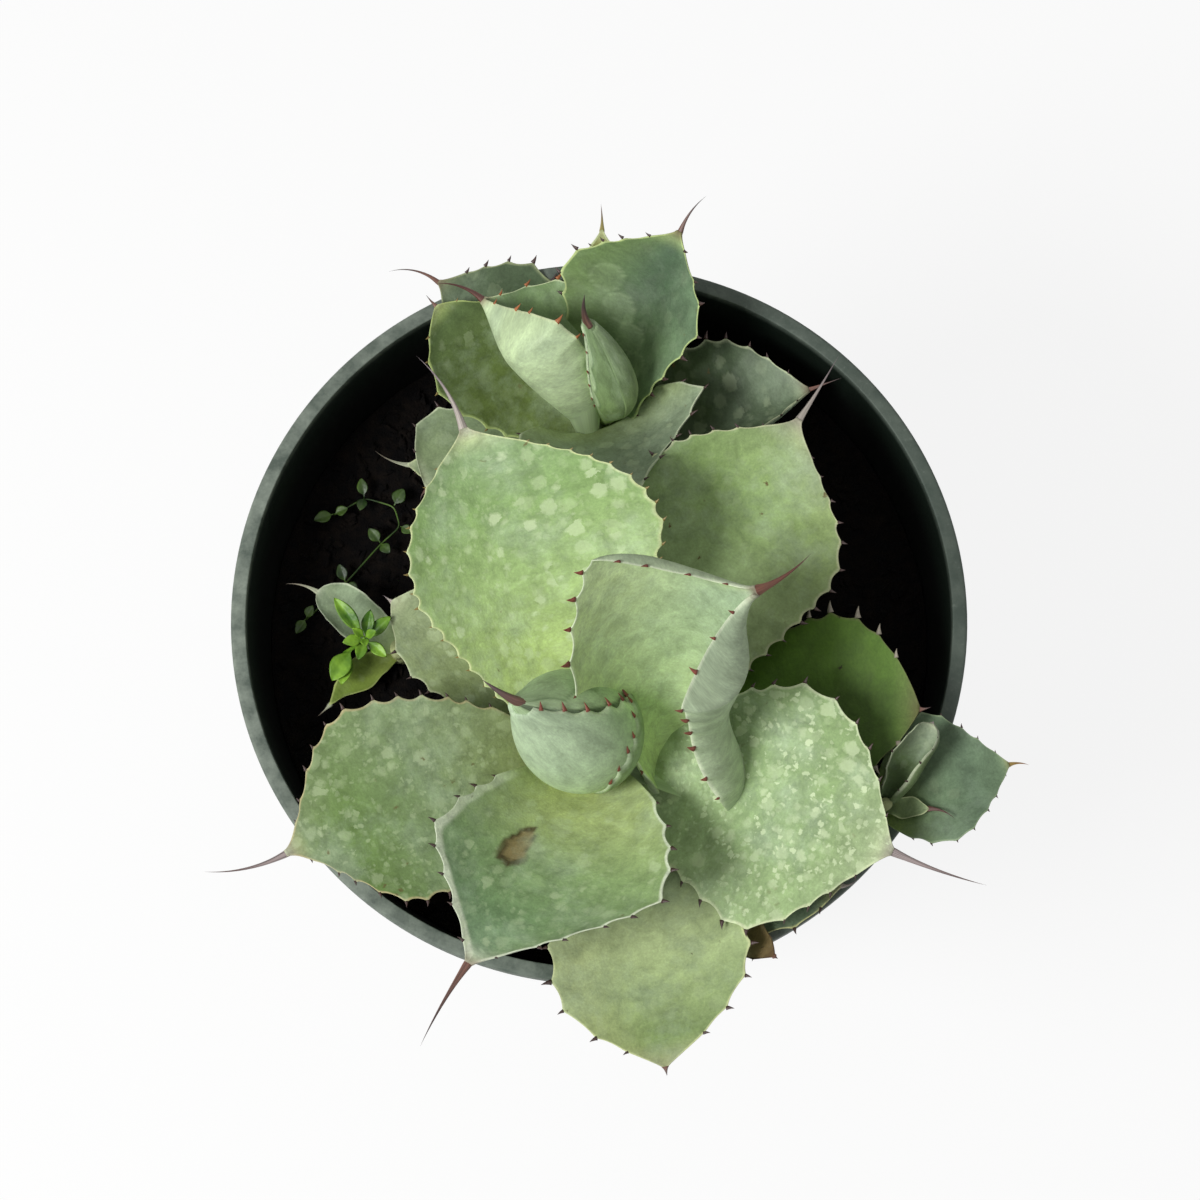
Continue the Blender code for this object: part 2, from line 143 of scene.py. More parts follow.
# %% [markdown]
# ## The skin of the leaves
# An agave leaf has a tough waxy skin. The wax, called bloom, is a matt blue-grey film that rubs off
# and takes water marks, so the green shows through in clouds and pale drying spots. Painting that by
# hand for every leaf would be slow. Here each leaf's mesh carries its broad colours in an attribute
# named paint, its place on the leaf in millimetres in one named grid, and how strongly it is marked in
# one named marks. One material recipe then adds clouds, spots, pores and fine lengthwise lines.


# %% The waxy skin recipe
def waxy_skin(name, roughness, spot_tone, freckle_tone, bloom_tone="#a9baa0"):
    """Agave leaf skin under a wax film: satin to matt, fine pores, no clear reflections."""
    made, tree, shader = new_material(name, {"IOR": 1.42, "Specular IOR Level": 0.3})
    carried = add(tree, "ShaderNodeAttribute", attribute_name="paint").outputs
    paint, waxed = carried["Color"], carried["Alpha"]
    grid = add(tree, "ShaderNodeAttribute", attribute_name="grid").outputs["Vector"]
    marks = add(tree, "ShaderNodeSeparateXYZ", {
        0: add(tree, "ShaderNodeAttribute", attribute_name="marks").outputs["Vector"]})

    # Bloom lies in clouds about 16 mm across, and rubs thin in patches of 5 mm
    cloud = add(tree, "ShaderNodeTexNoise", {"Vector": grid, "Scale": 0.06, "Detail": 6.0,
                                             "Roughness": 0.68}).outputs["Fac"]
    bloom = add(tree, "ShaderNodeMapRange", {0: cloud, 1: 0.47, 2: 0.66, 3: 0.0, 4: 0.42}).outputs[0]
    bloom = add(tree, "ShaderNodeMath", {0: bloom, 1: waxed}, operation="MULTIPLY").outputs[0]
    body = add(tree, "ShaderNodeMix", {0: bloom, 6: paint, 7: tone(bloom_tone)}, data_type="RGBA").outputs[2]
    rubbed = add(tree, "ShaderNodeTexNoise", {"Vector": grid, "Scale": 0.2, "Detail": 6.0, "Roughness": 0.7,
                                              "Distortion": 0.4}).outputs["Fac"]
    shade = add(tree, "ShaderNodeMapRange", {0: rubbed, 1: 0.34, 2: 0.66, 3: 0.76, 4: 1.22}).outputs[0]
    # Speckle of the skin cells and of dust, 0.5 mm, as coarse as it needs to be to show
    grain = add(tree, "ShaderNodeTexNoise", {"Vector": grid, "Scale": 1.7, "Detail": 4.0,
                                             "Roughness": 0.7}).outputs["Fac"]
    grain = add(tree, "ShaderNodeMapRange", {0: grain, 1: 0.3, 2: 0.7, 3: 0.87, 4: 1.13}).outputs[0]
    shade = add(tree, "ShaderNodeMath", {0: shade, 1: grain}, operation="MULTIPLY").outputs[0]
    body = add(tree, "ShaderNodeVectorMath", {0: body, "Scale": shade}, operation="SCALE").outputs[0]

    # Dried water marks: small spots 1.4 mm apart and wide blots 3.3 mm apart, with ragged outlines
    ragged = add(tree, "ShaderNodeTexNoise", {"Vector": grid, "Scale": 0.5, "Detail": 4.0,
                                              "Roughness": 0.65}).outputs["Color"]
    pushed = add(tree, "ShaderNodeVectorMath", {0: ragged, 1: (3.0, 3.0, 0.0), 2: grid},
                 operation="MULTIPLY_ADD").outputs[0]
    covered = None
    for spacing, strength in ((1.35, marks.outputs["X"]), (3.3, marks.outputs["Y"])):
        cells = add(tree, "ShaderNodeTexVoronoi", {"Vector": pushed, "Scale": 1 / spacing})
        luck = add(tree, "ShaderNodeSeparateColor", {0: cells.outputs["Color"]}).outputs
        size = add(tree, "ShaderNodeMath", {0: luck[0], 1: 0.52, 2: 0.06},
                   operation="MULTIPLY_ADD").outputs[0]
        depth = add(tree, "ShaderNodeMath", {0: size, 1: cells.outputs["Distance"]},
                    operation="SUBTRACT").outputs[0]
        spot = add(tree, "ShaderNodeMapRange", {0: depth, 1: -0.06, 2: 0.12}).outputs[0]
        # Some marks are hardly there
        faint = add(tree, "ShaderNodeMapRange", {0: luck[1], 3: 0.12, 4: 1.0}).outputs[0]
        spot = add(tree, "ShaderNodeMath", {0: spot, 1: faint}, operation="MULTIPLY").outputs[0]
        spot = add(tree, "ShaderNodeMath", {0: spot, 1: strength}, operation="MULTIPLY").outputs[0]
        covered = spot if covered is None else add(tree, "ShaderNodeMath", {0: covered, 1: spot},
                                                   operation="MAXIMUM").outputs[0]
    body = add(tree, "ShaderNodeMix", {0: covered, 6: body, 7: tone(spot_tone)},
               data_type="RGBA").outputs[2]

    # A few corky freckles, 0.6 mm, one to every square centimetre or so
    freckles = add(tree, "ShaderNodeTexVoronoi", {"Vector": pushed, "Scale": 0.16}).outputs["Distance"]
    freckles = add(tree, "ShaderNodeMapRange", {0: freckles, 1: 0.085, 2: 0.035}).outputs[0]
    freckles = add(tree, "ShaderNodeMath", {0: freckles, 1: marks.outputs["Z"]},
                   operation="MULTIPLY").outputs[0]
    body = add(tree, "ShaderNodeMix", {0: freckles, 6: body, 7: tone(freckle_tone)},
               data_type="RGBA").outputs[2]
    tree.links.new(body, shader.inputs["Base Color"])

    # Wax is smoother where it is thick; the relief is pores of 0.4 mm and faint lengthwise veins
    gloss = add(tree, "ShaderNodeMapRange", {0: cloud, 1: 0.4, 2: 0.6, 3: roughness + 0.07,
                                             4: roughness - 0.07}).outputs[0]
    tree.links.new(gloss, shader.inputs["Roughness"])
    stretched = add(tree, "ShaderNodeVectorMath", {0: grid, 1: (0.5, 0.05, 1.0)},
                    operation="MULTIPLY").outputs[0]
    veins = add(tree, "ShaderNodeTexNoise", {"Vector": stretched, "Scale": 1.0, "Detail": 2.0}).outputs["Fac"]
    pores = add(tree, "ShaderNodeTexNoise", {"Vector": grid, "Scale": 1.6, "Detail": 3.0}).outputs["Fac"]
    relief = add(tree, "ShaderNodeMath", {0: veins, 1: pores}, operation="ADD").outputs[0]
    bump = add(tree, "ShaderNodeBump", {"Height": relief, "Strength": 0.2, "Distance": 0.0003})
    tree.links.new(bump.outputs[0], shader.inputs["Normal"])
    return made


SKINS = {
    "leaf": waxy_skin("agave_skin_waxy", 0.55, "#d2e2b6", "#6b5f3a"),
    "young_leaf": waxy_skin("agave_skin_young_bloom", 0.52, "#d3e4c2", "#7a6a48", "#b3c7a8"),
    "old_leaf": waxy_skin("agave_skin_old", 0.62, "#b4c29c", "#4a4028", "#8b9b88"),
    # The dark leaf's skin is dark green with a dark bloom: partly its own colour, partly painted shade for a
    # leaf lying low under the others
    "dark_leaf": waxy_skin("agave_skin_rubbed", 0.55, "#7d8a58", "#2c2614", "#4c5f34"),
}
print("leaf skins:", ", ".join(skin.name for skin in SKINS.values()))

# %% [markdown]
# ## Horn, the stuff of spines and teeth
# Spines and teeth are hardened leaf tissue, like dull horn: dark red-brown when young and weathered to
# grey. A spine is streaked along its length. The teeth are too small to need streaks, so their recipe
# only lightens them at random from tooth to tooth by place.


# %% Horn for spines and teeth
def horn(name, colour):
    """Horny agave tissue: dull and hard. With no colour it reads the piece's paint attribute."""
    made, tree, shader = new_material(name, {"Roughness": 0.48, "IOR": 1.54})
    if colour is None:
        body = add(tree, "ShaderNodeAttribute", attribute_name="paint").outputs["Color"]
        grid = add(tree, "ShaderNodeAttribute", attribute_name="grid").outputs["Vector"]
        # Streaks 0.4 mm wide and several millimetres long
        place = add(tree, "ShaderNodeVectorMath", {0: grid, 1: (2.6, 0.09, 2.6)},
                    operation="MULTIPLY").outputs[0]
        low, high, height = 0.4, 1.65, 0.0004
    else:
        body = tone(colour)[:3]
        place = add(tree, "ShaderNodeTexCoord").outputs["Object"]
        # Patches 3 mm across, so that neighbouring teeth differ
        place = add(tree, "ShaderNodeVectorMath", {0: place, "Scale": 330.0}, operation="SCALE").outputs[0]
        low, high, height = 0.75, 1.3, 0.0001
    noise = add(tree, "ShaderNodeTexNoise", {"Vector": place, "Scale": 1.0, "Detail": 3.0}).outputs["Fac"]
    shade = add(tree, "ShaderNodeMapRange", {0: noise, 1: 0.3, 2: 0.7, 3: low, 4: high}).outputs[0]
    body = add(tree, "ShaderNodeVectorMath", {0: body, "Scale": shade}, operation="SCALE").outputs[0]
    tree.links.new(body, shader.inputs["Base Color"])
    bump = add(tree, "ShaderNodeBump", {"Height": noise, "Strength": 0.3, "Distance": height})
    tree.links.new(bump.outputs[0], shader.inputs["Normal"])
    return made


SPINE_HORN = horn("spine_horn_streaked", None)
TOOTH_HORN = {"red": horn("tooth_horn_red_brown", "#7a3c2e"), "dark": horn("tooth_horn_dark", "#3a2622"),
              "straw": horn("tooth_horn_straw", "#84713e"), "amber": horn("tooth_horn_amber", "#9a5a30"),
              "grey": horn("tooth_horn_weathered", "#8e8676")}
# Colours of a spine at its foot and at its point
SPINE_TONES = {"grey": ("#a39a90", "#74686a"), "mauve": ("#8f8280", "#56403c"),
               "red": ("#5e382f", "#4a1d16"), "dark": ("#6b4a3e", "#40302e"),
               "amber": ("#a58a45", "#8f5a26"), "pale": ("#a8ad93", "#84796a"), "tan": ("#8d8246", "#4d2c1c")}
print("spine tones:", ", ".join(SPINE_TONES))

# %% [markdown]
# ## The shape of one leaf
# Every leaf follows the same rule, so the rule is written once. The midrib is a path that climbs from
# one pitch to another while its heading swings round. The outline grows from a neck to its widest
# place and then closes to the spine's foot. Each half of the blade curls up by its own angle. All
# sizes are millimetres and degrees, the same ones that the frame's solids use.

# %% Stems, and the path of a midrib
STEMS = {
    "main_stem": dict(foot=(-3.0, -32.0, 140.3), top=(-3.0, -32.0, 169.0), radius=(14.0, 5.3)),
    "back_pup_stem": dict(foot=(-1.0, 40.0, 140.3), top=(-1.0, 41.4, 158.0), radius=(6.0, 3.96)),
    "left_pup_stem": dict(foot=(-46.0, -3.8, 140.3), top=(-46.0, -3.8, 145.0), radius=(3.2, 2.2)),
    "right_pup_stem": dict(foot=(57.0, -41.0, 140.3), top=(62.4, -44.4, 172.5), radius=(2.8, 1.5)),
}
SEAT_GAP = 0.7  # from a stem to the start of a blade
PATH_STEPS = 240
TIP_WIDTH = 0.03  # width at the spine's foot, as a share of the leaf's width
LEAF_THICK = 3.4  # at the base of a leaf 50 mm wide
ROOT_STEPS = 7  # rings of the fleshy foot that joins a blade to its stem


def heading_of(pitch, heading):
    """Unit vectors at these pitches and compass headings, in radians."""
    pitch, heading = np.broadcast_arrays(pitch, heading)
    return np.stack([np.cos(pitch) * np.cos(heading), np.cos(pitch) * np.sin(heading), np.sin(pitch)], -1)


def stem_at(stem, height):
    """The stem's centre and radius at a height."""
    foot, top = np.array(stem["foot"]), np.array(stem["top"])
    share = (height - foot[2]) / (top[2] - foot[2])
    return foot + (top - foot) * share, stem["radius"][0] + (stem["radius"][1] - stem["radius"][0]) * share


def thickness(leaf, t):
    """Blade thickness at the midrib: less towards the tip, and less on narrow leaves."""
    return LEAF_THICK * math.sqrt(min(1.0, leaf["width"] / 50)) * (1 - 0.6 * np.clip(t, 0, 1))


def blade_start(leaf):
    """Where the midrib begins, just outside the stem unless the leaf states its own place."""
    if "base" in leaf:
        return np.array(leaf["base"])
    stem, pitch = STEMS[leaf["stem"]], math.radians(leaf["rise"][0])
    thick = thickness(leaf, 0)
    centre, at_top = stem_at(stem, leaf["height"])
    at_underside = stem_at(stem, leaf["height"] - thick * math.cos(pitch))[1]
    reach = max(at_top, at_underside - thick * math.sin(pitch)) + SEAT_GAP
    return centre + heading_of(0, math.radians(leaf["heading"])) * reach


def midrib(leaf, t):
    """Centre, pitch and heading at t along the midrib."""
    fine = np.linspace(0, 1, PATH_STEPS + 1)
    pitch = np.radians(leaf["rise"][0] + (leaf["rise"][1] - leaf["rise"][0]) * fine)
    heading = np.radians(leaf["heading"] + leaf["bend"] * (fine - 0.5))
    steps = heading_of(pitch, heading)[:-1] * (leaf["length"] / PATH_STEPS)
    points = blade_start(leaf) + np.vstack([np.zeros(3), np.cumsum(steps, 0)])
    at = np.clip(t, 0, 1)
    centre = np.stack([np.interp(at, fine, points[:, axis]) for axis in range(3)], -1)
    return centre, np.interp(at, fine, pitch), np.interp(at, fine, heading)


print("one leaf's path starts at", blade_start(dict(stem="main_stem", height=163, heading=112,
                                                    rise=(42, 12), width=58)).round(1))

# %% [markdown]
# The blade is a surface with two coordinates: t runs along the midrib, and v runs across from -1 at
# the left edge to +1 at the right. A third value, depth, goes down through the thickness. The same
# function then serves the upper face, the lower face, the rounded edge and the feet of the teeth.


# %% The blade as a surface
def outline(leaf, t):
    """Half the width at t, as a share of half the leaf's full width."""
    t = np.clip(t, 0, 1)
    before = np.clip(1 - t / leaf["widest"], 0, 1)
    past = np.clip((t - leaf["widest"]) / (1 - leaf["widest"]), 0, 1)
    return np.where(t < leaf["widest"], leaf["neck"] + (1 - leaf["neck"]) * (1 - before ** leaf["flare"]),
                    TIP_WIDTH + (1 - TIP_WIDTH) * (1 - past ** leaf["full"]) ** leaf["taper"])


def scallop(leaf, t, right):
    """How far the edge stands out, in mm: a small peak under each tooth and a shallow dip between."""
    feet = leaf["tooth_feet"][right]
    place = np.interp(t, feet, np.arange(len(feet)))
    peak = 1 - np.abs(np.sin(np.pi * place)) ** 0.75
    return leaf["scallop"] * (peak - 0.45) * step(0.04, 0.2, t) * (1 - step(0.84, 0.97, t))


def blade(leaf, t, v, depth=0.0, plain=False):
    """Points of the blade, in mm. t, v and depth broadcast against each other."""
    t, v, depth = np.broadcast_arrays(t, v, depth)
    centre, pitch, heading = midrib(leaf, t)
    along, up = heading_of(pitch, heading), heading_of(pitch + math.pi / 2, heading)
    side = np.cross(along, up)
    roll = math.radians(leaf["roll"])
    side, up = side * math.cos(roll) + up * math.sin(roll), up * math.cos(roll) - side * math.sin(roll)
    skew = leaf["skew"] + leaf["foot_skew"] * step(0.55, 0.0, t)
    reach = outline(leaf, t) * leaf["width"] / 2 * (1 + skew * np.where(v > 0, 1, -1))
    if not plain:
        edge = np.where(v > 0, scallop(leaf, t, 1), scallop(leaf, t, 0))
        reach = reach + edge * np.abs(v) ** 9
    cup = np.radians(np.where(v > 0, leaf["cup"][1], leaf["cup"][0])) * (1.15 - 0.3 * np.clip(t, 0, 1))
    turn = cup * v
    point = centre + side * (reach * np.sin(turn) / cup)[..., None] + up * (
        reach * (1 - np.cos(turn)) / cup)[..., None]
    outward = side * np.sin(turn)[..., None] - up * np.cos(turn)[..., None]
    # Leaves are never quite even: the edge lifts and dips a little
    wave = 0.0 if plain else leaf["wave"] * np.sin(leaf["phase"] + t * 8.5 + v * 1.3) * v ** 2 * (
        1 - step(0.8, 1.0, t)) * step(0.1, 0.3, t)
    return point + outward * (depth + wave)[..., None]


def tooth_feet(leaf, right, rng):
    """Places along one edge, in t, where teeth stand at about the leaf's tooth spacing."""
    t = np.linspace(0, 1, 200)
    edge = blade(leaf, t, 1.0 if right else -1.0, plain=True)
    run = np.concatenate([[0], np.cumsum(np.linalg.norm(np.diff(edge, axis=0), axis=1))])
    first, last = np.interp([leaf["toothed"][0], leaf["toothed"][1]], t, run)
    count = max(2, round((last - first) / leaf["tooth"][0]))
    marks = np.linspace(first, last, count) + rng.uniform(-0.2, 0.2, count) * leaf["tooth"][0]
    return np.interp(marks, run, t)


print("the outline rule is in place; a blade is a surface of t, v and depth")

# %% [markdown]
# ## The table of leaves
# The first group of numbers in each entry places and shapes the leaf. The second says how it looks:
# paint gives its colours from base to tip, left and right tint its halves, marks are its water spots,
# blots and freckles, and tooth is the spacing and length of its teeth in millimetres.

# %% Defaults and the main rosette
PLAIN = dict(
    bend=0.0, skew=0.0, foot_skew=0.0, widest=0.6, neck=0.4, flare=2, full=2, taper=1.2, cup=(20, 20),
    roll=0.0, spine=(4, 0, 0),
    paint=("#b7c887", "#9eb57f", "#879e6a"), left=None, right=None, under="#96a98c", rim="#cfdaa6",
    rim_width=(0.6, 0.6), wax=1.0, marks=(0.0, 0.2, 0.6), around=72, tooth=(5.6, 1.7),
    toothed=(0.16, 0.93), teeth="dark", horn="grey", scallop=1.3, wave=0.5, slot="leaf")
LEAVES = {
    "main_leaf_01": dict(
        stem="main_stem", height=160, base=(15.3, -37, 157.4), heading=55.6, length=74, rise=(49, 65),
        bend=-116, width=67, foot_skew=0.66, widest=0.816, neck=0.56, flare=1.16, full=1.0, taper=2.2,
        cup=(70, 160), roll=-27, spine=(21.5, -8, 41),
        paint=("#cbdf9c", "#bad098", "#a6bb90", "#9bb092"), left=("#d6e9a6", 0.7), under="#b2c3a2",
        rim="#d9e4c4", marks=(0.0, 0.08, 0.2), tooth=(7.4, 2.3), teeth="red", horn="red",
        slot="young_leaf"),
    "main_leaf_02": dict(
        stem="main_stem", height=165, heading=244, length=57, rise=(45, 20), bend=-13, width=55,
        skew=-0.2, widest=0.58, neck=0.45, flare=1.7, full=1.2, cup=(40, 30), roll=-8, spine=(21, 0, 10),
        paint=("#c0cb86", "#aebd80", "#88a26c", "#6f8c60", "#7f9678"), left=("#94ab72", 0.35),
        right=("#6c8668", 0.35), rim="#dfe7cd", rim_width=(0.8, 3.4), marks=(0.16, 0.36, 0.6),
        around=150, tooth=(6.4, 1.9), horn="dark", scar=(0.43, 0.2, 12.6, 6.6, -7)),
    "main_leaf_03": dict(
        stem="main_stem", height=163, heading=112, length=72, rise=(42, 12), bend=-9, width=58,
        skew=0.24, widest=0.54, neck=0.35, flare=1.0, full=2.7, taper=1.4, cup=(30, 30), roll=7,
        spine=(19, -5, 33),
        paint=("#bccb80", "#b3c880", "#a2bc7c", "#87a566", "#8ba378"), rim="#d3dba2",
        marks=(0.22, 0.62, 0.8), tooth=(4.3, 1.1), toothed=(0.14, 0.9), teeth="straw", scallop=1.1),
    "main_leaf_04": dict(
        stem="main_stem", height=158.3, heading=340, length=66, rise=(35, 7), bend=-13, width=55,
        widest=0.57, neck=0.36, flare=1.1, full=2.2, taper=1.3, roll=-11, spine=(21, 2, 11),
        # The darker left tint paints the shadow main_leaf_01 casts on this leaf's upper half; the lighter
        # right tint paints light on the half facing the lamp
        paint=("#a9ba8a", "#a3b889", "#96b07a", "#8fa972", "#a3b48a"), left=("#829a66", 0.45),
        right=("#b0c694", 0.4), rim="#d6e0b4", rim_width=(0.6, 1.0), marks=(0.85, 0.6, 0.3),
        tooth=(6.2, 1.7), horn="mauve"),
    "main_leaf_05": dict(
        stem="main_stem", height=157, heading=200, length=63, rise=(30, 6), bend=18, width=46, skew=0.03,
        widest=0.62, taper=1.7, roll=-1, spine=(18, 5, -32),
        paint=("#8f9b5c", "#8d9d6c", "#83996a", "#6f8a4e", "#7c8f60"), right=("#94a47e", 0.3),
        rim="#bcb184", marks=(0.32, 0.4, 0.8), tooth=(5.2, 1.5), horn="mauve"),
    "main_leaf_06": dict(
        stem="main_stem", height=154, heading=57, length=81, rise=(28, 8), bend=-2, width=50, skew=0.08,
        widest=0.65, neck=0.35, flare=1.3, full=2.3, taper=1.6, spine=(17, 0, 4),
        # The darker left tint paints the shadow that main_leaf_03 casts on this leaf's left half
        paint=("#9fb174", "#a3b784", "#a2b982", "#98b56e", "#97aa78"), left=("#6e8456", 0.3),
        right=("#8c9468", 0.35), rim="#c9cda2", marks=(0.0, 0.14, 1.0), tooth=(4.8, 1.5)),
    "main_leaf_07": dict(
        stem="main_stem", height=150.8, heading=284, length=64, rise=(34, 6), bend=-7, width=44,
        skew=-0.1, widest=0.65, flare=1.8, full=2.1, taper=1.1, cup=(18, 18), roll=-6, spine=(2, 0, 0),
        paint=("#a9b87c", "#b7c492", "#b2c08e", "#9aad76", "#577030"), left=("#8fa274", 0.3),
        right=("#b4bc86", 0.4), rim="#c8d09a", marks=(0.06, 0.16, 1.0), tooth=(6.6, 2.1), horn="dark",
        slot="old_leaf"),
    "main_leaf_08": dict(
        stem="main_stem", height=150, heading=140, length=46, rise=(10, 2), bend=8, width=27, skew=0.2,
        widest=0.66, neck=0.5, full=2.1, taper=1.0, cup=(15, 15), spine=(2.5, 0, 0),
        paint=("#8d9c66", "#8c9c68", "#9aa880"), rim="#c2caa0", marks=(0.1, 0.45, 1.0),
        tooth=(5.6, 1.6)),
    "main_leaf_09": dict(
        stem="main_stem", height=149, heading=6, length=68, rise=(30, 22), bend=-14, width=37,
        skew=-0.23, widest=0.72, flare=1.3, full=2.2, taper=0.9, cup=(15, 15), roll=2,
        spine=(2.5, 0, 20),
        # Its dark paint is partly its own colour and partly painted shade, as the leaf lies low under its
        # neighbours
        paint=("#4c6c1c", "#507622", "#466220", "#486028"), left=("#668a34", 0.55), under="#56653c",
        rim="#6f7a48", rim_width=(0.4, 0.4), wax=0.3, marks=(0.0, 0.05, 1.0), tooth=(5.6, 2.8),
        teeth="grey", horn="dark", slot="dark_leaf"),
    "main_leaf_10": dict(
        stem="main_stem", height=147, heading=332, length=56, rise=(22, 26), bend=36, width=35,
        skew=-0.18, widest=0.71, neck=0.35, full=2.4, taper=1.1, cup=(18, 18), spine=(4, 0, 60),
        paint=("#4f6142", "#526449", "#5f7058"), rim="#c8c98c", marks=(0.0, 0.12, 0.8), tooth=(5.8, 2),
        slot="old_leaf"),
}
print("main rosette:", len(LEAVES), "leaves")

